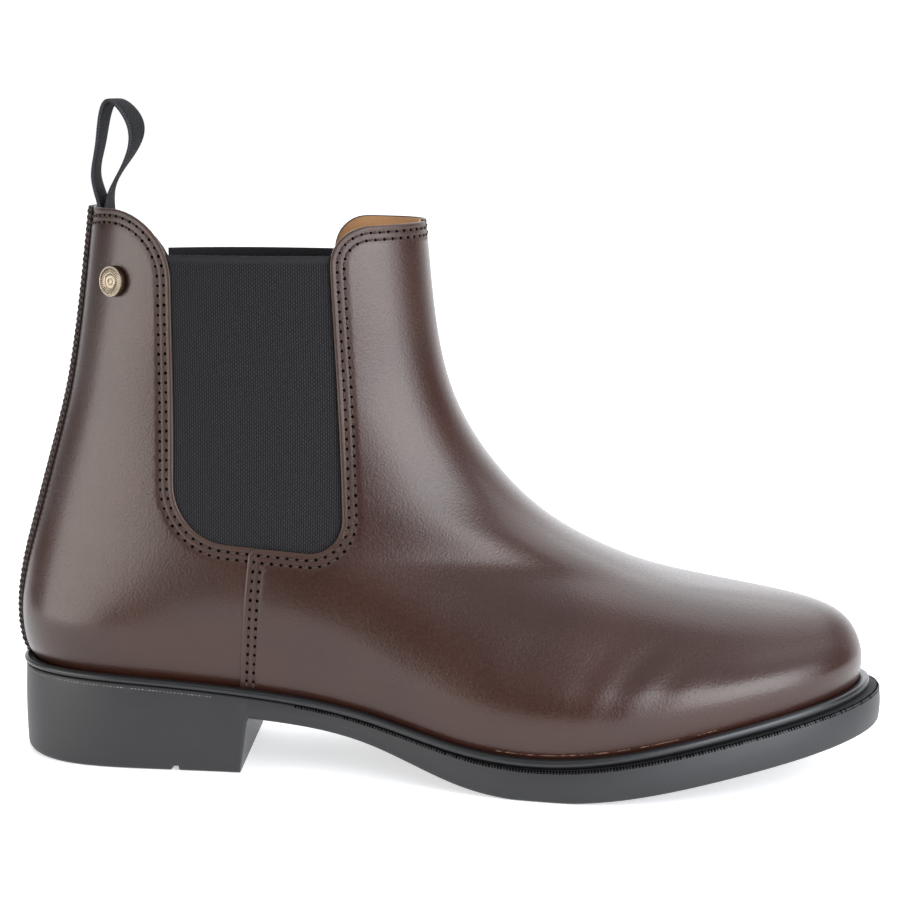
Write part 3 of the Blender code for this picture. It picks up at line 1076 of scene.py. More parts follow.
@dataclass(frozen=True)
class AntiqueBrass(Finish):
    """Dull brass with bright high spots and dark hollows."""

    bright: Color = (0.34, 0.285, 0.215)
    dark: Color = (0.045, 0.032, 0.020)
    roughness: float = 0.42
    stain_size: float = 1.4
    stain_depth: float = 0.05

    def dress(self, shade: Shade) -> None:
        """Make the brass's nodes.

        Args:
            shade: The material.
        """
        stain = shade.noise(self.stain_size, 4.0)
        worn = (shade.mark("height") * 0.8 + stain * 0.55).step(0.30, 0.85)
        shade.put(Base_Color=shade.mixed(worn, self.dark, self.bright), Metallic=1.0)
        shade.put(Roughness=self.roughness + (1 - worn) * 0.25)
        shade.relief(stain, self.stain_depth)


class MarkRows(Nodes):
    """A Geometry Nodes group that sets one small mark after another along paths."""

    def __init__(self, shape: MarkShape) -> None:
        """Build the group.

        Args:
            shape: The form of its marks.
        """
        super().__init__(bpy.data.node_groups.new(f"marks_{shape.value}", "GeometryNodeTree"))
        face = self.tree.interface
        face.new_socket("Geometry", in_out="INPUT", socket_type="NodeSocketGeometry")
        kinds = {size.title(): "Float" for size in MarkSize._fields}
        kinds |= {"Seed": "Int", "Finish": "Material"}
        self.keys = {}
        for name, kind in kinds.items():
            socket = face.new_socket(name, in_out="INPUT", socket_type=f"NodeSocket{kind}")
            self.keys[name] = socket.identifier
        face.new_socket("Geometry", in_out="OUTPUT", socket_type="NodeSocketGeometry")
        self._wire(shape)

    def _result(self, kind: str, settings: dict[str, Any], inputs: dict[Any, Any]) -> Socket:
        """Add a node and return its first output."""
        return self.node(kind, settings, inputs).outputs[0]

    def _form(self, shape: MarkShape, given: bpy.types.NodeOutputs) -> Socket:
        """Make one mark at its size and turn.

        Args:
            shape: Its form.
            given: The group's inputs.

        Returns:
            The mark's geometry.
        """
        if shape is MarkShape.BEAD:
            ball = {"Segments": 8, "Rings": 5, "Radius": 0.5}
            form = self._result("GeometryNodeMeshUVSphere", {}, ball)
        else:
            form = self._result("GeometryNodeMeshCube", {}, {"Size": (1.0, 1.0, 1.0)})
        soft = {0: form, "Shade Smooth": shape is MarkShape.BEAD}
        form = self._result("GeometryNodeSetShadeSmooth", {}, soft)
        sides = {0: given["Length"], 1: given["Width"], 2: given["Height"]}
        size = self._result("ShaderNodeCombineXYZ", {}, sides)
        turn = self._result("ShaderNodeCombineXYZ", {}, {2: given["Turn"]})
        form = self._result("GeometryNodeTransform", {}, {0: form, "Scale": size})
        return self._result("GeometryNodeTransform", {}, {0: form, "Rotation": turn})

    def _wire(self, shape: MarkShape) -> None:
        """Join the nodes of the group.

        Args:
            shape: The form of its marks.
        """
        given = self.node("NodeGroupInput", {}, {}).outputs
        curve = self._result("GeometryNodeMeshToCurve", {}, {0: given["Geometry"]})
        pitch = {"Curve": curve, "Length": given["Pitch"]}
        points = self._result("GeometryNodeResampleCurve", {"mode": "LENGTH"}, pitch)
        out = self._result(
            "GeometryNodeInputNamedAttribute", {"data_type": "FLOAT_VECTOR"}, {"Name": "out"}
        )
        tangent = self._result("GeometryNodeInputTangent", {}, {})
        axes = {"primary_axis": "Z", "secondary_axis": "X"}
        facing = self._result("FunctionNodeAxesToRotation", axes, {0: out, 1: tangent})
        spread = Value(self, given["Spread"])
        limits = {2: 1 - spread, 3: 1 + spread, "Seed": given["Seed"]}
        vary = self.node("FunctionNodeRandomValue", {"data_type": "FLOAT"}, limits).outputs[1]
        form = self._form(shape, given)
        inputs = {"Points": points, "Instance": form, "Rotation": facing, "Scale": vary}
        placed = self._result("GeometryNodeInstanceOnPoints", {}, inputs)
        real = self._result("GeometryNodeRealizeInstances", {}, {0: placed})
        done = self._result("GeometryNodeSetMaterial", {}, {0: real, "Material": given["Finish"]})
        self.node("NodeGroupOutput", {}, {0: done})

    def lay(
        self, name: str, paths: Sequence[tuple[Array, Array]], finish: Material, seed: int, size: MarkSize
    ) -> Piece:
        """Lay marks along paths.

        Args:
            name: Name of the piece.
            paths: Points and outward directions of each path, in the drawing frame.
            finish: Finish of the marks.
            seed: Seed of their small differences.
            size: Sizes of the marks.

        Returns:
            The piece with every mark, as a plain mesh.
        """
        mesh = bpy.data.meshes.new(name + "_path")
        points, edges, outs = [], [], []
        for path, out in paths:
            start = len(points)
            points += [tuple(point) for point in to_row(path)]
            outs += [tuple(direction) for direction in out]
            edges += [(i, i + 1) for i in range(start, len(points) - 1)]
        mesh.from_pydata(points, edges, [])
        attribute = mesh.attributes.new("out", "FLOAT_VECTOR", "POINT")
        attribute.data.foreach_set("vector", np.asarray(outs, np.float32).ravel())
        source = in_scene(name + "_path", mesh)
        modifier = source.modifiers.new("marks", "NODES")
        modifier.node_group = self.tree
        for key, value in size._asdict().items():
            scale = 1.0 if key in ("turn", "spread") else MM
            modifier[self.keys[key.title()]] = float(value) * scale
        modifier[self.keys["Seed"]] = seed
        modifier[self.keys["Finish"]] = finish
        graph = bpy.context.evaluated_depsgraph_get()
        plain = bpy.data.meshes.new_from_object(source.evaluated_get(graph))
        bpy.data.objects.remove(source)
        bpy.data.meshes.remove(mesh)
        plain.name = name
        return in_scene(name, plain)


def settle(piece: Piece, slot: str, *nodes: str) -> None:
    """Let a piece ride on the boot and report it.

    Args:
        piece: The finished piece.
        slot: Not used.
        nodes: The solids that it stands for.
    """
    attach(piece, "root")
    if nodes:
        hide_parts(*nodes)
    LOG.info("%s: %d faces", piece.name, len(piece.data.polygons))


@dataclass
class Sheet:
    """A sheet of leather cut from the last's chart, with its thickness.

    The loop is its rim in the chart, counter-clockwise; cut holds the part of the rim that is a
    raw edge. The depths give how far its two faces lie inside the last from the chart points and
    their distances to the raw edge. The rows are extra lines of points along the raw edge.
    """

    name: str
    loop: Array
    cut: Array
    outer: Callable[[Array, Array], Array]
    inner: Callable[[Array, Array], Array]
    angle_step: float = 0.0042
    level_step: float = 0.12
    rows: tuple[float, ...] = (0.22, 0.5, 0.9, 1.5, 2.1, 2.7, 3.25, 3.8, 4.4, 5.0, 5.8)
    rows_clear: float = 0.6
    rim_clear: float = 0.5
    rim_step: float = 0.4
    edge_step: float = 0.2
    joined: bool = False

    def _inside(self, chart: Array) -> Array:
        """Tell which points lie in the loop.

        Args:
            chart: Points of the chart.

        Returns:
            True for each point inside.
        """
        odd = np.zeros(len(chart), bool)
        start, end = self.loop, np.roll(self.loop, -1, axis=0)
        for (ax, ay), (bx, by) in zip(start, end):
            if ay == by:
                continue
            crossing = (chart[:, 1] < ay) != (chart[:, 1] < by)
            odd ^= crossing & (chart[:, 0] < ax + (chart[:, 1] - ay) / (by - ay) * (bx - ax))
        return odd

    def _fill(self, last: Last, edge: Array) -> Array:
        """Spread points inside the rim: rows along the raw edge, then an even grid.

        Args:
            last: The form that the sheet follows.
            edge: Points of the raw edge on the form.

        Returns:
            The chart points.
        """
        low, high = self.loop.min(0), self.loop.max(0)
        steps = np.array([self.angle_step, self.level_step])
        axes = [np.arange(low[i] + steps[i] / 2, high[i], steps[i]) for i in range(2)]
        grid = np.stack(np.meshgrid(*axes), -1).reshape(-1, 2)
        grid = grid[self._inside(grid)]
        rim = resampled(last.point(*np.vstack([self.loop, self.loop[:1]]).T), self.rim_step)
        grid = grid[distances(last.point(*grid.T), rim) > self.rim_clear]
        if not self.rows:
            return grid
        grid = grid[distances(last.point(*grid.T), edge) > self.rows[-1] + self.rows_clear]
        kept = [grid]
        for offset in self.rows:
            row = last.shifted(self.cut, offset)
            row = row[self._inside(row)]
            near = distances(last.point(*row.T), edge) > 0.96 * offset
            clear = distances(last.point(*row.T), rim) > min(0.9 * offset, self.rim_clear)
            kept.append(row[near & clear])
        return np.vstack(kept)

    def _joined_ends(self, chart: Array) -> set[int]:
        """Return the points on the two ends, where the sheet meets itself."""
        ends = (self.loop[:, 0].min(), self.loop[:, 0].max())
        at_end = np.min([np.abs(chart[:, 0] - end) for end in ends], axis=0) < 1e-6
        return set(np.flatnonzero(at_end).tolist())

    def build(self, last: Last, material: Material) -> Piece:
        """Build the sheet.

        Args:
            last: The form that the sheet follows.
            material: Its finish.

        Returns:
            The piece.
        """
        trace = resampled(last.point(*self.cut.T), self.edge_step)
        coords = [Vector(point) for point in np.vstack([self.loop, self._fill(last, trace)]) * CHART_SCALE]
        rim = [(i, (i + 1) % len(self.loop)) for i in range(len(self.loop))]
        made = delaunay_2d_cdt(coords, rim, [], 1, 1e-5, False)
        chart = np.array([tuple(point) for point in made[0]]) / CHART_SCALE
        faces = np.array([tuple(face) for face in made[2]])
        faces = [tuple(face) for face in faces[self._inside(chart[faces].mean(axis=1))].tolist()]
        edge = distances(last.point(*chart.T), trace)
        outer = last.inside(*chart.T, self.outer(chart, edge))
        inner = last.inside(*chart.T, self.inner(chart, edge))
        joined = self._joined_ends(chart) if self.joined else None
        shell = walled(faces, len(chart), joined)
        marks = {"edge": np.concatenate([edge, edge])}
        return make_piece(self.name, np.vstack([outer, inner]), shell, material, marks)


@dataclass
class Upper:
    """The leather upper: the vamp, the quarters under it, the lining and the sewing."""

    last: Last
    bead: MarkRows
    gore_rear_x: float = 61.2
    gore_front_x: float = 121.2
    gore_bottom: float = 77.0
    bottom_rise: float = 4.2
    bottom_fall: float = 0.2
    rear_foot_round: float = 20.0
    front_foot_round: float = 11.0
    rear_set: float = 0.3
    front_set: float = 0.5
    back_x: float = -10.0
    back_top: float = 192.3
    back_lift: float = 0.6
    back_slope: float = -0.0082
    rear_round: float = 24.0
    rear_reach: float = 25.0
    toe_x: float = 170.0
    toe_lift: float = 1.8
    front_top: float = 187.2
    front_drop: float = 0.5
    front_lean: float = 5.8
    front_round: float = 13.0
    front_clear: float = 3.0
    inner_back: float = 13.0
    inner_rise: float = 0.1
    inner_round: float = 0.65
    inner_lead: float = 3.8
    lap: float = 5.0
    seam_corner: float = 3.0
    seam_clear: float = 0.05
    vamp_step: float = 0.8
    vamp_thick: float = 1.5
    skived: float = 0.72
    skive_ends: tuple[float, float] = (6.5, 10.0)
    collar_level: float = 12.9
    quarter_thick: float = 0.75
    lining_outer: float = 1.62
    lining_inner: float = 2.6
    lining_foot: float = 0.02
    lining_grow: float = 3.0
    lining_round: float = 2.0
    lining_reach: float = 0.5
    lining_drop: float = 0.3
    lining_step: float = 1.6
    edge_sink: float = 0.3
    edge_round: float = 0.8
    band_sink: float = 0.10
    band_ends: tuple[float, float] = (5.2, 6.2)
    row_sink: float = 0.16
    row_width: float = 0.55
    stitch_rows: tuple[float, float] = (2.3, 4.7)
    stitch_sink: float = 0.20
    stitch_foot: float = 0.42
    stitch_drop: float = 1.2
    thread_size: MarkSize = MarkSize(3.3, 2.35, 0.9, 0.9, spread=0.1)
    # Near-black beads stand for the needle holes: painted shade.
    hole_size: MarkSize = MarkSize(3.3, 1.15, 1.1, 0.72, spread=0.1)
    hole_finish: Thread = Thread((0.0012, 0.0008, 0.0006), (0.003, 0.002, 0.0015), 0.95, shine=0.0)
    fold_bow: float = 0.012
    fold_free: float = 0.06
    folds_outer: tuple[Fold, ...] = (
        Fold(205.0, 40, 56, 16, 4.2, 0.27), Fold(212.0, 43, 51, 13, 3.4, -0.19),
        Fold(218.5, 42, 49, 15, 3.4, 0.27), Fold(225.5, 41, 43, 12, 3.4, -0.21),
        Fold(232.5, 40, 42, 13, 3.8, 0.21), Fold(240.0, 42, 36, 10, 4.2, -0.14),
        Fold(248.0, 43, 34, 10, 5.0, 0.11), Fold(199.0, 58, 30, 14, 7.0, -0.36),
        Fold(186.0, 47, 52, 22, 8.0, 0.36), Fold(170.0, 62, 20, 24, 10.0, 0.30),
    )
    folds_inner: tuple[Fold, ...] = (
        Fold(203.0, 38, 60, 16, 4.4, 0.38), Fold(210.0, 42, 54, 14, 3.8, -0.26),
        Fold(217.0, 41, 50, 13, 4.0, 0.36), Fold(225.0, 43, 44, 12, 4.2, -0.22),
        Fold(234.0, 44, 40, 12, 4.8, 0.24), Fold(180.0, 58, 30, 22, 8.0, 0.45),
    )

    def corners(self, foot: Foot) -> dict[str, Corner]:
        """Place the corners of the collar's edge and of the gore's cut-out in side view.

        Args:
            foot: The side.

        Returns:
            The corners by name.
        """
        inner = foot is Foot.INNER
        shift = self.inner_back if inner else 0.0
        rear_x, front_x = self.gore_rear_x - shift, self.gore_front_x - shift
        low = self.gore_bottom + self.bottom_rise
        slope = (self.bottom_rise + self.bottom_fall) / (front_x - rear_x + self.rear_set)
        seam_x = self.last.seam_x(self.gore_bottom)
        rear_z = self.back_top - self.back_slope * shift
        corner_x = front_x - self.front_lean + (self.inner_lead if inner else 0.0)
        corner_z = self.front_top - self.front_drop + self.inner_rise * shift
        return {
            "back": Corner(self.back_x, self.back_top + self.back_lift, 0),
            "rear": Corner(rear_x + self.rear_set, rear_z, self.rear_round + self.inner_round * shift),
            "bottom_rear": Corner(rear_x, low, self.rear_foot_round),
            "bottom_front": Corner(
                front_x - self.front_set, self.gore_bottom - self.bottom_fall, self.front_foot_round
            ),
            "front": Corner(corner_x, corner_z, self.front_round),
            "toe": Corner(self.toe_x, self.front_top + self.toe_lift, 0),
            "seam": Corner(seam_x, low - slope * (seam_x - rear_x), self.seam_corner),
        }

    def _collar_front(self, foot: Foot, places: Array, drop: float = 0.0) -> Array:
        """Follow places and then the front collar to its middle.

        Args:
            foot: The side.
            places: Places in side view up to the collar's front corner.
            drop: How far below the collar the line runs.

        Returns:
            The chart points.
        """
        corner = self.corners(foot)
        end_x = corner["front"].x + self.front_round + self.front_clear
        chart = self.last.locate(places[places[:, 0] < end_x])
        angle = np.linspace(chart[-1, 0], 1.0, 40)[1:]
        front, toe = (c._replace(z=c.z - drop) for c in (corner["front"], corner["toe"]))
        return np.vstack([chart, self.last.along_line(angle, front, toe)])

    def _collar_back(self, foot: Foot, places: Array, drop: float = 0.0) -> Array:
        """Follow the collar from the back's middle and then places.

        Args:
            foot: The side.
            places: Places in side view from the collar's back corner on.
            drop: How far below the collar the line runs.

        Returns:
            The chart points.
        """
        corner = self.corners(foot)
        chart = self.last.locate(places[places[:, 0] > corner["rear"].x - self.rear_reach])
        angle = np.linspace(0.0, chart[0, 0], 30)[:-1]
        back, rear = (c._replace(z=c.z - drop) for c in (corner["back"], corner["rear"]))
        return np.vstack([self.last.along_line(angle, back, rear), chart])

    def vamp_edge(self, foot: Foot) -> Array:
        """Draw the vamp's raw edge from the foot of the seam to the front's middle.

        Args:
            foot: The side.

        Returns:
            The chart points.
        """
        corner = self.corners(foot)
        start = Corner(self.last.seam_foot_x, self.last.seam_foot_z, 0)
        names = ("seam", "bottom_front", "front", "toe")
        chart = self._collar_front(foot, rounded([start, *(corner[name] for name in names)]))
        chart = chart[chart[:, 1] > self.seam_clear]
        return np.vstack([self.last.seam(np.array([0.0]), 0.0), chart])

    def quarter_edge(self, foot: Foot) -> Array:
        """Draw the quarter's raw edge from the back's middle to under the vamp.

        Args:
            foot: The side.

        Returns:
            The chart points.
        """
        corner = self.corners(foot)
        low, high = corner["bottom_rear"], corner["bottom_front"]
        end_x = corner["seam"].x + self.lap
        end_z = low.z + (high.z - low.z) * (end_x - low.x) / (high.x - low.x)
        places = rounded([corner["back"], corner["rear"], low, Corner(end_x, end_z, 0)])
        return self._collar_back(foot, places)

    def lining_edge(self, foot: Foot) -> Array:
        """Draw the lining's edge from the back's middle to the front's middle.

        Args:
            foot: The side.

        Returns:
            The chart points.
        """
        grow = {"bottom_rear": -self.lining_grow, "bottom_front": self.lining_grow}
        reach = {"rear": -self.lining_reach, "front": self.lining_reach}
        path = []
        for name in ("back", "rear", "bottom_rear", "bottom_front", "front", "toe"):
            x, z, radius = self.corners(foot)[name]
            if name in grow:
                path.append(Corner(x + grow[name], z - self.lining_grow, radius + self.lining_round))
            else:
                path.append(Corner(x + reach.get(name, 0.0), z - self.lining_drop, radius))
        side = rounded(path, self.lining_step)
        middle = len(side) // 2
        back = self._collar_back(foot, side[:middle], self.lining_drop)
        front = self._collar_front(foot, side[middle:], self.lining_drop)
        return np.vstack([back, front])

    def _crumple(self, chart: Array) -> Array:
        """Work out how far the folds sink the vamp.

        Args:
            chart: Points of the chart.

        Returns:
            The depth at each point.
        """
        place = self.last.point(*chart.T)
        sunk = np.zeros(len(chart))
        for folds, here in ((self.folds_outer, chart[:, 0] <= 1), (self.folds_inner, chart[:, 0] > 1)):
            for fold in folds:
                cos, sin = math.cos(math.radians(fold.turn)), math.sin(math.radians(fold.turn))
                dx, dz = place[:, 0] - fold.x, place[:, 2] - fold.z
                along, across = dx * cos + dz * sin, dz * cos - dx * sin
                across = across + self.fold_bow * along**2
                dent = bump(along, 0, fold.length) * bump(across, 0, fold.width)
                sunk += np.where(here, fold.depth * dent, 0.0)
        return sunk * smooth(0.0, self.fold_free, np.abs(chart[:, 0] - 1))

    def _pressed(self, edge: Array) -> Array:
        """Work out how far the raw edge's rounding and the sewing sink the leather.

        Args:
            edge: Distances to the raw edge.

        Returns:
            The depth at each distance.
        """
        round_edge = self.edge_sink * (1 - smooth(0.0, self.edge_round, edge)) ** 2
        band = self.band_sink * (1 - smooth(*self.band_ends, edge))
        rows = sum(self.row_sink * bump(edge, row, self.row_width) for row in self.stitch_rows)
        return round_edge + band * smooth(self.edge_round, 2 * self.edge_round, edge) + rows

    def _seam_distance(self, chart: Array) -> Array:
        """Return how far chart points lie ahead of the side seam."""
        place = self.last.point(*chart.T)
        return place[:, 0] - self.last.seam_x(place[:, 2])

    def _stitches(self, name: str, edge: Array, depth: float) -> None:
        """Sew two rows of thread along a raw edge, with near-black beads as painted shade of the needle
        holes.

        Args:
            name: Name of the panel.
            edge: The raw edge in the chart, with the panel on its left.
            depth: How far the panel lies inside the last.
        """
        trace = resampled(self.last.point(*edge.T), 0.2)
        lower = self.stitch_drop * (1 - smooth(0.06, 0.2, np.abs(edge[:, 0])))
        threads, holes = [], []
        for row in self.stitch_rows:
            chart = self.last.shifted(edge, row + lower)
            clear = distances(self.last.point(*chart.T), trace) > 0.95 * row
            chart = chart[clear & (chart[:, 1] > self.stitch_foot)]
            chart = resampled(chart * CHART_SCALE, 0.6) / CHART_SCALE
            out = self.last.normal(*chart.T)
            path = self.last.inside(*chart.T, np.full(len(chart), depth + self.stitch_sink))
            threads.append((path, out))
            # The holes start half a stitch later, so that they stay midway between the threads.
            along = along_path(path)
            step = along[-1] / math.floor(along[-1] / self.thread_size.pitch)
            between = np.linspace(step / 2, along[-1] - step / 2, len(path))
            places, outs = (
                np.column_stack([np.interp(between, along, column) for column in rows.T])
                for rows in (path, out)
            )
            holes.append((places, outs))
        thread, dark = Thread().build("thread"), self.hole_finish.build("needle_hole_shade")
        settle(self.bead.lay(f"{name}_thread", threads, thread, 5, self.thread_size), "leather")
        settle(self.bead.lay(f"{name}_holes", holes, dark, 6, self.hole_size), "leather")

    def _vamp(self) -> None:
        """Build the vamp and sew its edge."""

        def back(chart: Array, edge: Array) -> Array:
            """Return the depth of the back face, skived where it laps the quarters."""
            full = smooth(*self.skive_ends, self._seam_distance(chart))
            lapped = self.skived + (self.vamp_thick - self.skived) * full
            return np.where(chart[:, 1] < self.collar_level, lapped, self.vamp_thick)

        half = self.vamp_edge(Foot.OUTER)
        cut = np.vstack([mirrored(self.vamp_edge(Foot.INNER), 2.0), half[-2::-1]])
        vamp = Sheet(
            "vamp",
            np.vstack([cut, level_run(half[0, 0], 2 - half[0, 0], 240, 0.0)[1:-1]]),
            cut,
            lambda chart, edge: self._pressed(edge) + self._crumple(chart),
            back,
        )
        settle(vamp.build(self.last, SmoothLeather().build("vamp_leather")), "leather", "upper")
        self._stitches("vamp", cut, 0.0)

    def _quarters(self) -> None:
        """Build the two quarters as one panel and sew their edge."""
        rims, shown = {}, {}
        for side in Foot:
            half = self.quarter_edge(side)
            under = self.last.seam(np.linspace(half[-1, 1], 0.0, 40)[1:], self.lap)
            shown[side] = half[self._seam_distance(half) <= 1.0]
            rims[side] = np.vstack([half, under])
        cut, loop = (
            np.vstack([paths[Foot.OUTER][::-1], mirrored(paths[Foot.INNER], 0.0)[1:]])
            for paths in (shown, rims)
        )
        end = rims[Foot.OUTER][-1, 0]
        quarters = Sheet(
            "quarters",
            np.vstack([loop, level_run(-end, end, 120, 0.0)[1:-1]]),
            cut,
            lambda chart, edge: self.vamp_step + self._pressed(edge),
            lambda chart, edge: np.full(len(chart), self.vamp_step + self.quarter_thick),
        )
        settle(quarters.build(self.last, SmoothLeather().build("quarter_leather")), "leather", "upper")
        self._stitches("quarters", cut, self.vamp_step)

    def _lining(self) -> None:
        """Build the lining."""
        half = self.lining_edge(Foot.OUTER)
        ends = np.linspace(self.lining_foot, half[0, 1], 60)[1:-1]
        loop = [
            level_run(0.0, 2.0, 260, self.lining_foot),
            np.column_stack([np.full_like(ends, 2.0), ends]),
            mirrored(self.lining_edge(Foot.INNER), 2.0),
            half[-2::-1],
            np.column_stack([np.zeros_like(ends), ends[::-1]]),
        ]
        lining = Sheet(
            "lining",
            np.vstack(loop),
            half,
            lambda chart, edge: np.full(len(chart), self.lining_outer),
            lambda chart, edge: np.full(len(chart), self.lining_inner),
            angle_step=0.012,
            level_step=0.25,
            rows=(),
            rim_clear=1.0,
            joined=True,
        )
        piece = lining.build(self.last, LiningLeather().build("lining_leather"))
        settle(piece, "insole_leather", "upper")

    def build(self) -> None:
        """Build and dress the panels, the sewing and the lining."""
        self._vamp()
        self._quarters()
        self._lining()


@dataclass
class Gores:
    """The two elastic gores, held behind the leather's edges."""

    last: Last
    upper: Upper
    under: float = 2.5
    outer_top: float = 177.5
    inner_top: float = 176.1
    foot_round: float = 2.0
    face: float = 1.63
    back: float = 2.45
    cord: float = 0.78
    cord_rise: float = 0.08
    cord_fade: float = 2.0
    hem: float = 2.2
    hem_rise: float = 0.22
    groove: float = 0.35
    groove_sink: float = 0.12
    lean_extra: float = 0.5
    lean_start: float = 80.0
    lean_height: float = 100.0
    rows: int = 110
    columns: int = 234

    def build(self) -> None:
        """Build both gores."""
        for foot in Foot:
            name = f"gore_{foot.name.lower()}"
            settle(self._sheet(name, foot), "elastic", name)

    def _places(self, foot: Foot, top: float) -> Array:
        """Spread a grid of places over a gore in side view.

        Args:
            foot: Its side.
            top: Height of its top.

        Returns:
            The places as rows of x and z.
        """
        corner = self.upper.corners(foot)
        low, high = corner["bottom_rear"], corner["bottom_front"]
        rear, front = low.x - self.under, high.x + self.under
        across = np.linspace(0, 1, self.columns)
        foot_z = low.z - self.under + (high.z - low.z) * across
        for at, end in ((0.0, low), (1.0, high)):
            radius = end.radius + self.foot_round
            reach = np.clip(1 - np.abs(across - at) * (front - rear) / radius, 0, 1)
            foot_z = foot_z + radius * (1 - np.sqrt(1 - reach**2))
        z = foot_z + (top - foot_z) * np.linspace(0, 1, self.rows)[:, None]
        lean = corner["front"].x + self.under + self.lean_extra - front
        front = front + lean * np.clip((z - self.lean_start) / self.lean_height, 0, 1)
        x = rear + (front - rear) * across
        return np.stack(np.broadcast_arrays(x, z), -1).reshape(-1, 2)

    def _sheet(self, name: str, foot: Foot) -> Piece:
        """Build one gore.

        Args:
            name: Its name.
            foot: Its side.

        Returns:
            The piece.
        """
        top = self.outer_top if foot is Foot.OUTER else self.inner_top
        places = self._places(foot, top)
        x, z = places.T
        hem_z = top - self.hem
        hem = smooth(hem_z - 0.25, hem_z + 0.1, z)
        cord = 0.5 + 0.5 * np.cos(2 * np.pi * x / self.cord)
        shown = smooth(0.0, self.cord_fade, x - self.upper.corners(foot)["bottom_rear"].x)
        depth = self.face - self.cord_rise * cord * (1 - hem) * shown - self.hem_rise * hem
        depth = depth + self.groove_sink * bump(z, hem_z - self.groove, self.groove)
        chart = self.last.locate(places)
        faces = grid_faces(self.rows, self.columns)
        if foot is Foot.INNER:
            chart = mirrored(chart, 2.0)
            faces = [face[::-1] for face in faces]
        outer = self.last.inside(*chart.T, depth)
        inner = self.last.inside(*chart.T, np.full(len(chart), self.back))
        marks = {key: np.tile(value, 2) for key, value in (("across", x), ("up", z), ("hem", hem))}
        material = GoreElastic(cord=self.cord).build(name + "_elastic")
        return make_piece(name, np.vstack([outer, inner]), walled(faces, len(chart)), material, marks)


@dataclass
class BackStrip:
    """The leather strip over the back seam with its braided sewing."""

    last: Last
    bead: MarkRows
    width: float = 14.0
    base: float = 0.78
    rise: float = 1.9
    crown: int = 6
    low_level: float = 0.45
    high_level: float = 13.02
    rows: int = 170
    columns: int = 15
    braid_rows: tuple[BraidRow, ...] = (
        BraidRow(-6.4, False), BraidRow(-5.2, True), BraidRow(-1.0, False),
        BraidRow(1.0, True), BraidRow(5.2, False), BraidRow(6.4, True),
    )
    braid_size: MarkSize = MarkSize(2.1, 2.5, 0.9, 0.75, spread=0.08)
    braid_slant: float = 48.0
    braid_sink: float = 0.1
    braid_finish: Thread = Thread((0.016, 0.010, 0.008), (0.060, 0.038, 0.030))

    def _chart(self, level: Array, across: Array) -> Array:
        """Return chart points at levels and places across the strip in millimetres."""
        share, back = self.last.section["share"](level), self.last.section["back"](level)
        half = share * self.last.plan_full(0.0) + back
        return np.column_stack([-np.arcsin(across / half) / np.pi, level])

    def _strip(self) -> Piece:
        """Build the strip.

        Returns:
            The piece.
        """
        level = np.repeat(np.linspace(self.low_level, self.high_level, self.rows), self.columns)
        spread = np.sin(np.linspace(math.pi / 2, -math.pi / 2, self.columns)) * self.width / 2
        across = np.tile(spread, self.rows)
        chart = self._chart(level, across)
        crown = np.clip(1 - (across / (self.width / 2)) ** self.crown, 0, 1) ** 0.5
        outer = self.last.inside(*chart.T, self.base - self.rise * crown)
        inner = self.last.inside(*chart.T, np.full(len(chart), self.base))
        faces = walled(grid_faces(self.rows, self.columns), len(chart))
        marks = {"edge": np.tile(self.width / 2 - np.abs(across), 2)}
        material = StripLeather().build("strip_leather")
        return make_piece("back_strip", np.vstack([outer, inner]), faces, material, marks)

    def build(self) -> None:
        """Build the strip and its braid."""
        settle(self._strip(), "leather", "back_strip")
        paths: dict[bool, list[tuple[Array, Array]]] = {False: [], True: []}
        level = np.linspace(self.low_level + 0.1, self.high_level - 0.1, 260)
        for row in self.braid_rows:
            chart = self._chart(level, np.full(len(level), row.place))
            crown = math.sqrt(1 - (row.place * 2 / self.width) ** self.crown)
            depth = np.full(len(level), self.base - self.rise * crown + self.braid_sink)
            paths[row.right].append((self.last.inside(*chart.T, depth), self.last.normal(*chart.T)))
        thread = self.braid_finish.build("braid")
        for name, right in (("back_braid_left", False), ("back_braid_right", True)):
            turn = math.radians(-self.braid_slant if right else self.braid_slant)
            size = self.braid_size._replace(turn=turn)
            settle(self.bead.lay(name, paths[right], thread, 8, size), "leather")


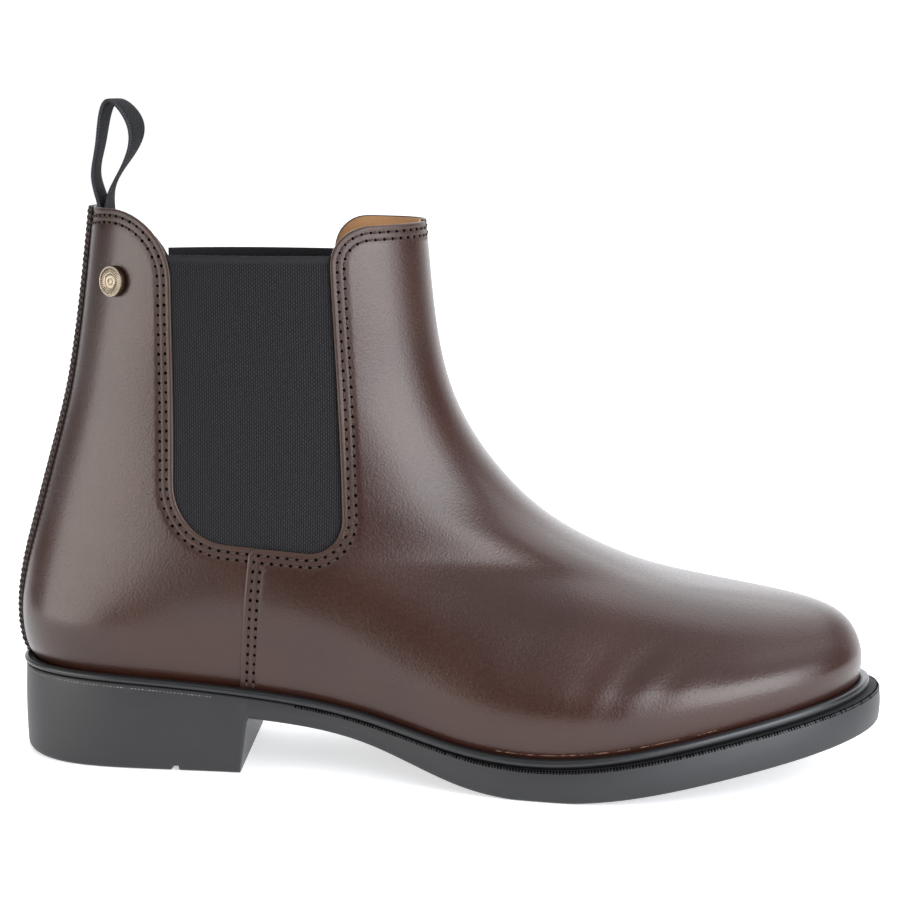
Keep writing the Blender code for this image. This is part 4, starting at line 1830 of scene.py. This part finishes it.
@dataclass
class PullLoop:
    """The webbing loop whose two ends lie together inside the back of the collar."""

    path: tuple[Spot, ...] = (
        Spot(30.1, 172.0), Spot(31.2, 184.0), Spot(30.4, 192.4), Spot(27.9, 202.0),
        Spot(29.7, 214.0), Spot(34.8, 228.6), Spot(41.8, 221.5), Spot(39.6, 209.0),
        Spot(33.2, 197.0), Spot(32.5, 184.0), Spot(31.8, 172.0),
    )
    twists: tuple[Twist, ...] = (
        Twist(0.30, 0.10, -6.0), Twist(0.56, 0.07, 8.0), Twist(0.74, 0.09, -13.0),
    )
    width: float = 15.0
    thick: float = 1.3
    selvedge: float = 1.5
    selvedge_rise: float = 0.16
    inset: float = 0.12
    stations: int = 200
    sides: int = 22

    def build(self) -> None:
        """Build the tape."""
        path = np.array(self.path)
        along = along_path(path)
        place = np.linspace(0, along[-1], self.stations)
        x, z = spline(along, path[:, 0])(place), spline(along, path[:, 1])(place)
        run, rise = np.gradient(x, place), np.gradient(z, place)
        size = np.hypot(run, rise)
        part = place / along[-1]
        twist = np.radians(sum(bend.turn * bump(part, bend.middle, bend.width) for bend in self.twists))
        across = np.linspace(-1, 1, self.sides)
        ring = np.concatenate([across, across[::-1]])
        # The tape is thinner inside its raised selvedges, and its edges are round.
        side = np.abs(across)
        half = self.thick / 2 * np.sqrt(np.clip(1 - side**8, 0, 1))
        half = half * (1 - self.inset * smooth(0.62, 0.78, side))
        half = half + self.selvedge_rise * bump(side, 0.90, 0.07)
        thick = np.concatenate([half, -half])
        y = ring * self.width / 2
        points = np.stack(
            [
                x[:, None] + thick * (rise / size)[:, None] + y * np.sin(twist)[:, None],
                y * np.cos(twist)[:, None],
                z[:, None] - thick * (run / size)[:, None],
            ],
            axis=-1,
        )
        rim = smooth(1 - 2 * self.selvedge / self.width, 0.97, np.abs(ring))
        count = len(ring)
        marks = {
            "across": np.tile(y, self.stations),
            "along": np.repeat(place, count),
            "rim": np.tile(rim, self.stations),
        }
        faces = [face[::-1] for face in grid_faces(self.stations, count, 0, True)]
        faces += [tuple(range(count)), tuple(range((self.stations - 1) * count, self.stations * count))[::-1]]
        webbing = LoopWebbing().build("webbing")
        settle(make_piece("pull_loop", points, faces, webbing, marks), "webbing", "pull_loop")


@dataclass
class Rivet:
    """The antique brass rivet on the outer quarter, with plain rings and milled ticks."""

    last: Last
    bar: MarkRows
    x: float = 40.3
    z: float = 168.0
    radius: float = 5.3
    height: float = 2.4
    seat: float = 0.5
    segments: int = 72
    profile: tuple[RivetRing, ...] = (
        RivetRing(0.0, 0.90), RivetRing(0.16, 0.90), RivetRing(0.21, 0.82), RivetRing(0.27, 0.90),
        RivetRing(0.42, 0.90), RivetRing(0.47, 0.80), RivetRing(0.52, 0.90), RivetRing(0.86, 0.90),
        RivetRing(0.89, 0.82), RivetRing(0.92, 0.92), RivetRing(0.96, 0.90), RivetRing(1.0, 0.78),
        RivetRing(1.0, 0.06), RivetRing(0.97, 0.0),
    )
    ticks: int = 36
    tick_ring: float = 0.70
    tick_rise: float = 0.90
    tick_length: float = 0.26
    tick_width: float = 1.25
    tick_height: float = 0.16
    tick_finish: AntiqueBrass = AntiqueBrass((0.10, 0.07, 0.045), (0.03, 0.02, 0.012), 0.5)

    def build(self) -> None:
        """Build the rivet and its ticks."""
        angle, level = self.last.locate(np.array([[self.x, self.z]]))[0]
        base = self.last.inside(angle, level, np.asarray(self.seat))
        axis = self.last.normal(angle, level)
        first = unit(np.cross(axis, [0.0, 0.0, 1.0]))
        second = np.cross(axis, first)
        turn = np.linspace(0, 2 * np.pi, self.segments, endpoint=False)
        arm = np.cos(turn)[:, None] * first + np.sin(turn)[:, None] * second
        rings = [
            base + axis * self.height * ring.rise + arm * self.radius * ring.reach for ring in self.profile
        ]
        height = [smooth(0.72, 1.0, np.array(ring.rise)) for ring in self.profile]
        marks = {"height": np.repeat(height, self.segments)}
        faces = [face[::-1] for face in grid_faces(len(rings), self.segments, 0, True)]
        start = (len(rings) - 1) * self.segments
        faces.append(tuple(range(start, start + self.segments)))
        brass = AntiqueBrass().build("brass")
        settle(make_piece("rivet", np.vstack(rings), faces, brass, marks), "brass", "rivet")
        reach = self.radius * self.tick_ring
        circle = np.vstack([arm, arm[:1]]) * reach + base + axis * self.height * self.tick_rise
        out = np.tile(axis, (len(circle), 1))
        pitch = 2 * math.pi * reach / self.ticks
        size = MarkSize(pitch, self.tick_length, self.tick_width, self.tick_height)
        finish = self.tick_finish.build("tick_brass")
        settle(self.bar.lay("rivet_ticks", [(circle, out)], finish, 2, size), "brass")


@dataclass
class Sole:
    """The moulded rubber sole with its heel, the bead welt, the insole and the rim's marks."""

    last: Last
    bar: MarkRows
    bead: MarkRows
    seat: float = 31.6
    breast_x: float = 86.5
    breast_lean: float = 2.7
    breast_share: float = 0.62
    breast_round: float = 4.0
    breast_reach: float = 12.0
    breast_skew: float = 7.0
    breast_fade: float = 26.0
    breast_worn: float = 3.6
    breast_stations: tuple[float, ...] = (-2.7, -2.3, -1.7, -1.1, -0.6, -0.2, 0.4, 1.2, 2.2, 3.4)
    notch_x: float = 59.5
    notch_width: float = 3.0
    notch_depth: float = 1.4
    notch_wall: float = 0.25
    notch_stations: tuple[float, ...] = (-0.05, 0.1, 0.25, 1.5, 2.75, 2.9, 3.05)
    station_clear: float = 0.35
    rim: tuple[RimRing, ...] = (
        RimRing(9.0, 0.0, 1.0), RimRing(2.6, 0.0, 1.0), RimRing(0.9, 0.0, 1.0),
        RimRing(0.35, 0.1, 0.6), RimRing(0.05, 0.5, 0.0),
    )
    wall_top: float = 0.8
    wall_swell: float = 0.35
    edge_round: float = 1.3
    heel_round: float = 3.4
    under_inset: float = 0.4
    columns: int = 170
    wall_rows: int = 9
    edge_rows: int = 5
    across: int = 14
    welt_width: float = 3.7
    welt_levels: tuple[float, float] = (0.06, 0.42)
    welt_lift: float = 0.1
    welt_rise: float = 1.12
    welt_power: float = 0.75
    welt_stations: int = 360
    welt_sides: int = 22
    welt_finish: SoleRubber = SoleRubber(
        (0.005, 0.005, 0.0055), (0.011, 0.011, 0.012), (0.03, 0.03, 0.032), roughness=0.27
    )
    insole_level: float = 0.5
    insole_inset: float = 3.1
    insole_thick: float = 1.6
    insole_dish: float = 0.9
    insole_dish_width: float = 50.0
    insole_rows: int = 90
    insole_finish: LiningLeather = LiningLeather((0.30, 0.145, 0.06), (0.50, 0.27, 0.12), 0.7)
    wheel_angles: tuple[float, float] = (0.40, 1.6)
    wheel_inset: float = 0.58
    wheel_drop: float = 0.40
    wheel_lean: float = 0.8
    wheel_size: MarkSize = MarkSize(1.05, 0.62, 1.25, 0.8, spread=0.08)
    # The wheel marks are real teeth, coloured near-black, darker than the rubber: painted shade of the groove
    # under the welt.
    wheel_finish: Thread = Thread((0.001, 0.001, 0.001), (0.003, 0.003, 0.003), 0.9, shine=0.0)
    flash_angles: tuple[float, float] = (-0.33, 0.33)
    flash_inset: float = -0.02
    flash_drop: float = 1.3
    flash_size: MarkSize = MarkSize(1.25, 0.8, 0.24, 0.2, spread=0.45)
    # Small beads of mould flash under the welt at the heel, coloured light grey as a painted highlight on the
    # black rubber.
    flash_finish: Thread = Thread((0.10, 0.10, 0.10), (0.22, 0.22, 0.215), 0.7)
    fleck_angles: tuple[tuple[float, float], ...] = ((0.56, 0.66), (0.672, 0.70), (0.72, 0.735))
    fleck_level: float = 0.50
    fleck_sink: float = 0.02
    fleck_points: int = 60
    fleck_size: MarkSize = MarkSize(1.5, 1.7, 0.36, 0.16, spread=0.7)
    fleck_finish: Thread = Thread((0.060, 0.028, 0.018), (0.19, 0.105, 0.065), 0.8, 2.4)

    def bottom(self, x: Array) -> Array:
        """Work out the height of the sole's underside.

        Args:
            x: Places along the sole.

        Returns:
            The height at each place.
        """
        shank = np.maximum(self.last.sole_top(x) - self.last.sole_thick(x), 0.0)
        steepness = self.seat * self.breast_share / self.breast_lean
        face = np.maximum((x - self.breast_x + self.breast_lean) * steepness, 0.0)
        part = np.clip(0.5 + 0.5 * (shank - face) / self.breast_round, 0, 1)
        under = shank + (face - shank) * part - self.breast_round * part * (1 - part)
        under = np.where(x < self.breast_x + self.breast_reach, np.maximum(under, 0.0), shank)
        half = self.notch_width / 2
        in_notch = 1 - smooth(half - self.notch_wall, half, np.abs(x - self.notch_x - half))
        return under + self.notch_depth * in_notch

    def _stations(self) -> Array:
        """Choose where along its length the sole has its sections.

        Returns:
            The places as parts of the length.
        """
        length = self.last.sole_length
        base = self.last.part_way(np.linspace(0, 1, self.columns))
        near = self.breast_x + np.array(self.breast_stations)
        notch = self.notch_x + np.array(self.notch_stations)
        extra = np.concatenate([near, notch]) / length
        clear = np.min(np.abs(base[:, None] - extra[None, :]), axis=1) > self.station_clear / length
        return np.sort(np.concatenate([base[clear], extra]))

    def outline(self, angle: Array) -> tuple[Array, Array]:
        """Draw the sole's plan.

        Args:
            angle: Angles of the chart.

        Returns:
            The points of the plan and their outward directions.
        """

        def plan(at: Array) -> Array:
            """Return the points of the plan at angles."""
            part = self.last.part_way(at)
            half = self.last.plan_full(part) * np.sin(np.pi * at)
            return np.column_stack([self.last.sole_length * part, self.last.plan_centre(part) - half])

        tangent = plan(angle + SLOPE_STEP) - plan(angle - SLOPE_STEP)
        return plan(angle), unit(np.column_stack([tangent[:, 1], -tangent[:, 0]]))

    def _outsole(self) -> Piece:
        """Build the moulded sole from rings round its wall and two sheets.

        Returns:
            The piece.
        """
        part = self._stations()
        length = self.last.sole_length
        skew = np.clip(1 - np.abs(part * length - self.breast_x) / self.breast_fade, 0, 1) * self.breast_skew
        inner_angle = 2 - self.last.angle_at(part - skew / length)
        angle = np.concatenate([self.last.angle_at(part), inner_angle[-2:0:-1]])
        count = len(angle)
        plan, out = self.outline(angle)
        top = self.last.sole_top(plan[:, 0])
        under = self.bottom(np.concatenate([part, part[-2:0:-1]]) * length)
        edge = self.edge_round + (self.heel_round - self.edge_round) * bump(plan[:, 0], -4.0, 20.0)
        rings, shadows = [], []

        def ring(inset: Any, height: Array, shadow: float = 0.0) -> None:
            """Add one ring of the wall."""
            flat = plan - out * np.reshape(inset, (-1, 1))
            rings.append(np.column_stack([flat, height]))
            shadows.append(shadow)

        # Rings of the rim with their painted shade, darkest on the top face under the welt.
        for row in self.rim:
            ring(row.inset, top - row.drop, row.shadow)
        high, low = top - self.wall_top, under + edge
        for share in np.linspace(0, 1, self.wall_rows):
            ring(-self.wall_swell * math.sin(math.pi * share), high + (low - high) * share)
        for step in np.linspace(0, math.pi / 2, self.edge_rows)[1:]:
            ring(edge * (1 - math.cos(step)), under + edge * (1 - math.sin(step)))
        ring(edge + self.under_inset, under)

        points = np.vstack(rings)
        faces = [face[::-1] for face in grid_faces(len(rings), count, 0, True)]
        marks = {
            "under": [np.zeros(len(points) - count), np.ones(count)],
            "rim": [np.repeat(shadows, count)],
            "breast": [np.zeros(len(points))],
        }
        # The heel breast's mark, for its wear and its painted light.
        at_breast = np.abs(part * length - self.breast_x) < self.breast_worn
        breast = np.repeat(at_breast.astype(float), self.across)
        share = np.linspace(0, 1, self.across)[:, None]
        for row, is_top in ((rings[0], True), (rings[-1], False)):
            right, left = row[: len(part), None], row[(count - np.arange(len(part))) % count, None]
            grid = right + (left - right) * share
            if is_top:
                grid[..., 2] = self.last.sole_top(grid[..., 0])
            quads = grid_faces(len(part), self.across, len(points))
            faces += [quad[::-1] for quad in quads] if is_top else quads
            points = np.vstack([points, grid.reshape(-1, 3)])
            marks["under"].append(0 * breast if is_top else 1 - breast)
            # The sole's top sheet under the upper gets the same painted shade.
            marks["rim"].append(np.full(len(breast), float(is_top)))
            marks["breast"].append(0 * breast if is_top else breast)
        data = {key: np.concatenate(values) for key, values in marks.items()}
        return make_piece("outsole", points, faces, SoleRubber().build("sole_rubber"), data, 4e-6)

    def _welt(self) -> Piece:
        """Build the bead round the foot of the upper.

        Returns:
            The piece.
        """
        angle = np.linspace(0, 2, self.welt_stations, endpoint=False)
        foot, shoulder = (self.last.point(angle, level) for level in self.welt_levels)
        out = unit(self.last.normal(angle, self.welt_levels[1]) * [1, 1, 0])
        rise = (shoulder[:, 2] - foot[:, 2]) * self.welt_rise
        rings = []
        for turn in np.linspace(math.pi * 1.5, -math.pi * 0.5, self.welt_sides, endpoint=False):
            reach, up = (
                0.5 + 0.5 * math.copysign(abs(side) ** self.welt_power, side)
                for side in (math.cos(turn), math.sin(turn))
            )
            ring = foot + out * (self.last.gap + self.welt_width * reach)
            ring[:, 2] = self.last.sole_top(ring[:, 0]) + self.welt_lift + rise * up
            rings.append(ring)
        points = np.stack(rings, axis=1).reshape(-1, 3)
        sides = len(rings)
        faces = grid_faces(len(angle), sides, 0, True)
        last = (len(angle) - 1) * sides
        faces += [(last + j, last + (j + 1) % sides, (j + 1) % sides, j) for j in range(sides)]
        return make_piece("welt", points, faces, self.welt_finish.build("welt_rubber"))

    def _insole(self) -> Piece:
        """Build the insole board.

        Returns:
            The piece.
        """
        share = np.linspace(0, 1, self.across)[:, None]
        rows = []
        for angle in np.linspace(0.02, 0.98, self.insole_rows):
            right, left = (
                self.last.inside(turn, self.insole_level, np.asarray(self.insole_inset))
                for turn in (angle, 2 - angle)
            )
            row = right + (left - right) * share
            dish = self.insole_dish * min(1.0, np.ptp(row[:, 1]) / self.insole_dish_width)
            row[:, 2] -= dish * (1 - (2 * share[:, 0] - 1) ** 2)
            rows.append(row)
        top = np.vstack(rows)
        points = np.vstack([top, top - [0, 0, self.insole_thick]])
        faces = walled(grid_faces(self.insole_rows, self.across), len(top))
        return make_piece("insole", points, faces, self.insole_finish.build("insole_leather"))

    def _rim_path(self, angle: Array, inset: float, drop: float, lean: float) -> tuple[Array, Array]:
        """Draw a line round the sole's rim.

        Args:
            angle: Angles of the chart.
            inset: How far inside the sole's plan it runs.
            drop: How far below the sole's upper face it runs.
            lean: How far its outward direction leans up.

        Returns:
            The points and their outward directions.
        """
        plan, out = self.outline(angle)
        places = plan - out * inset
        path = np.column_stack([places, self.last.sole_top(places[:, 0]) - drop])
        return path, unit(np.column_stack([out, np.full(len(out), lean)]))

    def _rim_marks(self) -> None:
        """Lay the wheel marks on the rim in painted shade, the flash line of the heel with its painted
        highlight, and the raw flecks.
        """
        angle = np.linspace(*self.wheel_angles, 700)
        path = self._rim_path(angle, self.wheel_inset, self.wheel_drop, self.wheel_lean)
        finish = self.wheel_finish.build("wheel_mark")
        settle(self.bar.lay("wheel_marks", [path], finish, 4, self.wheel_size), "rubber")
        path = self._rim_path(np.linspace(*self.flash_angles, 420), self.flash_inset, self.flash_drop, 0.0)
        finish = self.flash_finish.build("mould_flash_highlight")
        settle(self.bead.lay("mould_flash_highlight", [path], finish, 9, self.flash_size), "rubber")
        paths = []
        for start, end in self.fleck_angles:
            chart = level_run(start, end, self.fleck_points, self.fleck_level)
            sink = np.full(len(chart), self.fleck_sink)
            paths.append((self.last.inside(*chart.T, sink), self.last.normal(*chart.T)))
        finish = self.fleck_finish.build("raw_fleck")
        settle(self.bead.lay("raw_flecks", paths, finish, 12, self.fleck_size), "leather")

    def build(self) -> None:
        """Build and dress the sole's pieces."""
        settle(self._outsole(), "rubber", "outsole")
        settle(self._welt(), "rubber", "welt")
        settle(self._insole(), "insole_leather", "insole")
        self._rim_marks()


@dataclass
class Studio:
    """The pale floor, the soft light and the camera at the photograph's angle."""

    target: tuple[float, float, float] = (0.0025, 0.0013, 0.1087)
    yaw: float = 8.0
    elevation: float = 8.6
    distance: float = 0.85
    focal: float = 98.1
    sensor: float = 36.0
    floor_half_width: float = 3.0
    floor_front: float = -0.24
    floor_back: float = 4.0
    floor_drop: float = 0.0002
    floor_color: Color = (0.86, 0.86, 0.86)
    floor_shade: float = 0.99
    floor_grain: float = 40.0
    floor_glow: float = 0.55
    white: Color = (1.0, 1.0, 1.0)
    room_tint: Color = (0.95, 0.97, 1.0)
    room: tuple[RoomRamp, RoomRamp] = (
        RoomRamp("Y", 0.5, 0.95, 0.0, 2.2),
        RoomRamp("Z", 0.2, 0.9, 0.05, 0.8),
    )
    lamps: tuple[Lamp, ...] = (
        Lamp("top_box", (0.42, 0.46, 1.0), 1.0, 0.8, 5.0, (0.90, 0.94, 1.0)),
        Lamp("left_box", (-0.85, -0.53, 0.15), 0.88, 0.56, 7.0, (1.0, 0.985, 0.97)),
        Lamp("right_box", (0.71, -0.66, 0.36), 0.85, 0.78, 8.4, (0.89, 0.93, 1.0)),
        Lamp("right_glow", (0.74, -0.65, 0.34), 1.4, 1.12, 14.5, (0.89, 0.93, 1.0)),
    )

    def build(self) -> None:
        """Set up the floor, the lights, the surroundings and the camera."""
        self._floor()
        for lamp in self.lamps:
            self._lamp(lamp)
        self._surroundings()
        self._camera()
        bpy.context.scene.view_settings.view_transform = "Standard"

    def _camera(self) -> None:
        """Set up the camera."""
        yaw, rise = math.radians(self.yaw), math.radians(self.elevation)
        away = Vector((math.sin(yaw) * math.cos(rise), -math.cos(yaw) * math.cos(rise), math.sin(rise)))
        lens = bpy.data.cameras.new("camera")
        lens.lens, lens.sensor_width = self.focal, self.sensor
        camera = in_scene("camera", lens)
        camera.location = Vector(self.target) + away * self.distance
        camera.rotation_mode = "QUATERNION"
        camera.rotation_quaternion = (-away).to_track_quat("-Z", "Y")
        bpy.context.scene.camera = camera

    def _floor(self) -> None:
        """Lay the floor."""
        half, front, back = self.floor_half_width, self.floor_front, self.floor_back
        mesh = bpy.data.meshes.new("floor")
        corners = [(-half, front, 0.0), (half, front, 0.0), (half, back, 0.0), (-half, back, 0.0)]
        mesh.from_pydata(corners, [], [(0, 1, 2, 3)])
        shade = Shade("floor_paper")
        grain = shade.noise(self.floor_grain, 2.0)
        darker = tuple(channel * self.floor_shade for channel in self.floor_color)
        shade.put(Base_Color=shade.mixed(grain, self.floor_color, darker), Roughness=0.8)
        shade.put(Emission_Color=self.white, Emission_Strength=self.floor_glow)
        mesh.materials.append(shade.material)
        floor = in_scene("floor", mesh)
        floor.location.z = -self.floor_drop

    def _lamp(self, lamp: Lamp) -> None:
        """Hang one soft box that faces the boot.

        Args:
            lamp: The soft box.
        """
        light = bpy.data.lights.new(lamp.name, "AREA")
        light.shape = "RECTANGLE"
        light.size, light.size_y = lamp.width, lamp.height
        light.energy, light.color = lamp.power, lamp.tint
        box = in_scene(lamp.name, light)
        box.location = lamp.place
        aim = Vector(self.target) - Vector(lamp.place)
        box.rotation_euler = aim.to_track_quat("-Z", "Y").to_euler()

    def _surroundings(self) -> None:
        """Make the room dim for the boot and white behind it."""
        world = bpy.data.worlds.new("room")
        world.use_nodes = True
        nodes = Nodes(world.node_tree)
        facing = nodes.node("ShaderNodeTexCoord", {}, {}).outputs["Generated"]
        split = nodes.node("ShaderNodeSeparateXYZ", {}, {0: facing})
        ramps = []
        for ramp in self.room:
            ends = {"From Min": ramp.low, "From Max": ramp.high, "To Min": ramp.least, "To Max": ramp.most}
            made = nodes.node("ShaderNodeMapRange", {}, {"Value": split.outputs[ramp.axis], **ends})
            ramps.append(Value(nodes, made.outputs[0]))
        dim = nodes.tree.nodes["Background"]
        nodes.feed(dim.inputs["Color"], self.room_tint)
        nodes.feed(dim.inputs["Strength"], ramps[0] + ramps[1])
        plain = nodes.node("ShaderNodeBackground", {}, {"Color": self.white, "Strength": 1.0})
        seen = nodes.node("ShaderNodeLightPath", {}, {}).outputs["Is Camera Ray"]
        mix = nodes.node("ShaderNodeMixShader", {}, {0: seen, 1: dim.outputs[0], 2: plain.outputs[0]})
        nodes.feed(nodes.tree.nodes["World Output"].inputs[0], mix.outputs[0])
        bpy.context.scene.world = world


def main() -> None:
    """Build the boot's classes in order."""
    logging.basicConfig(level=logging.INFO, format="%(name)s: %(message)s")
    last = Last()
    bead, bar = MarkRows(MarkShape.BEAD), MarkRows(MarkShape.BAR)
    upper = Upper(last, bead)
    Studio().build()
    upper.build()
    Gores(last, upper).build()
    BackStrip(last, bead).build()
    PullLoop().build()
    Rivet(last, bar).build()
    Sole(last, bar, bead).build()


if __name__ == "__main__":
    main()
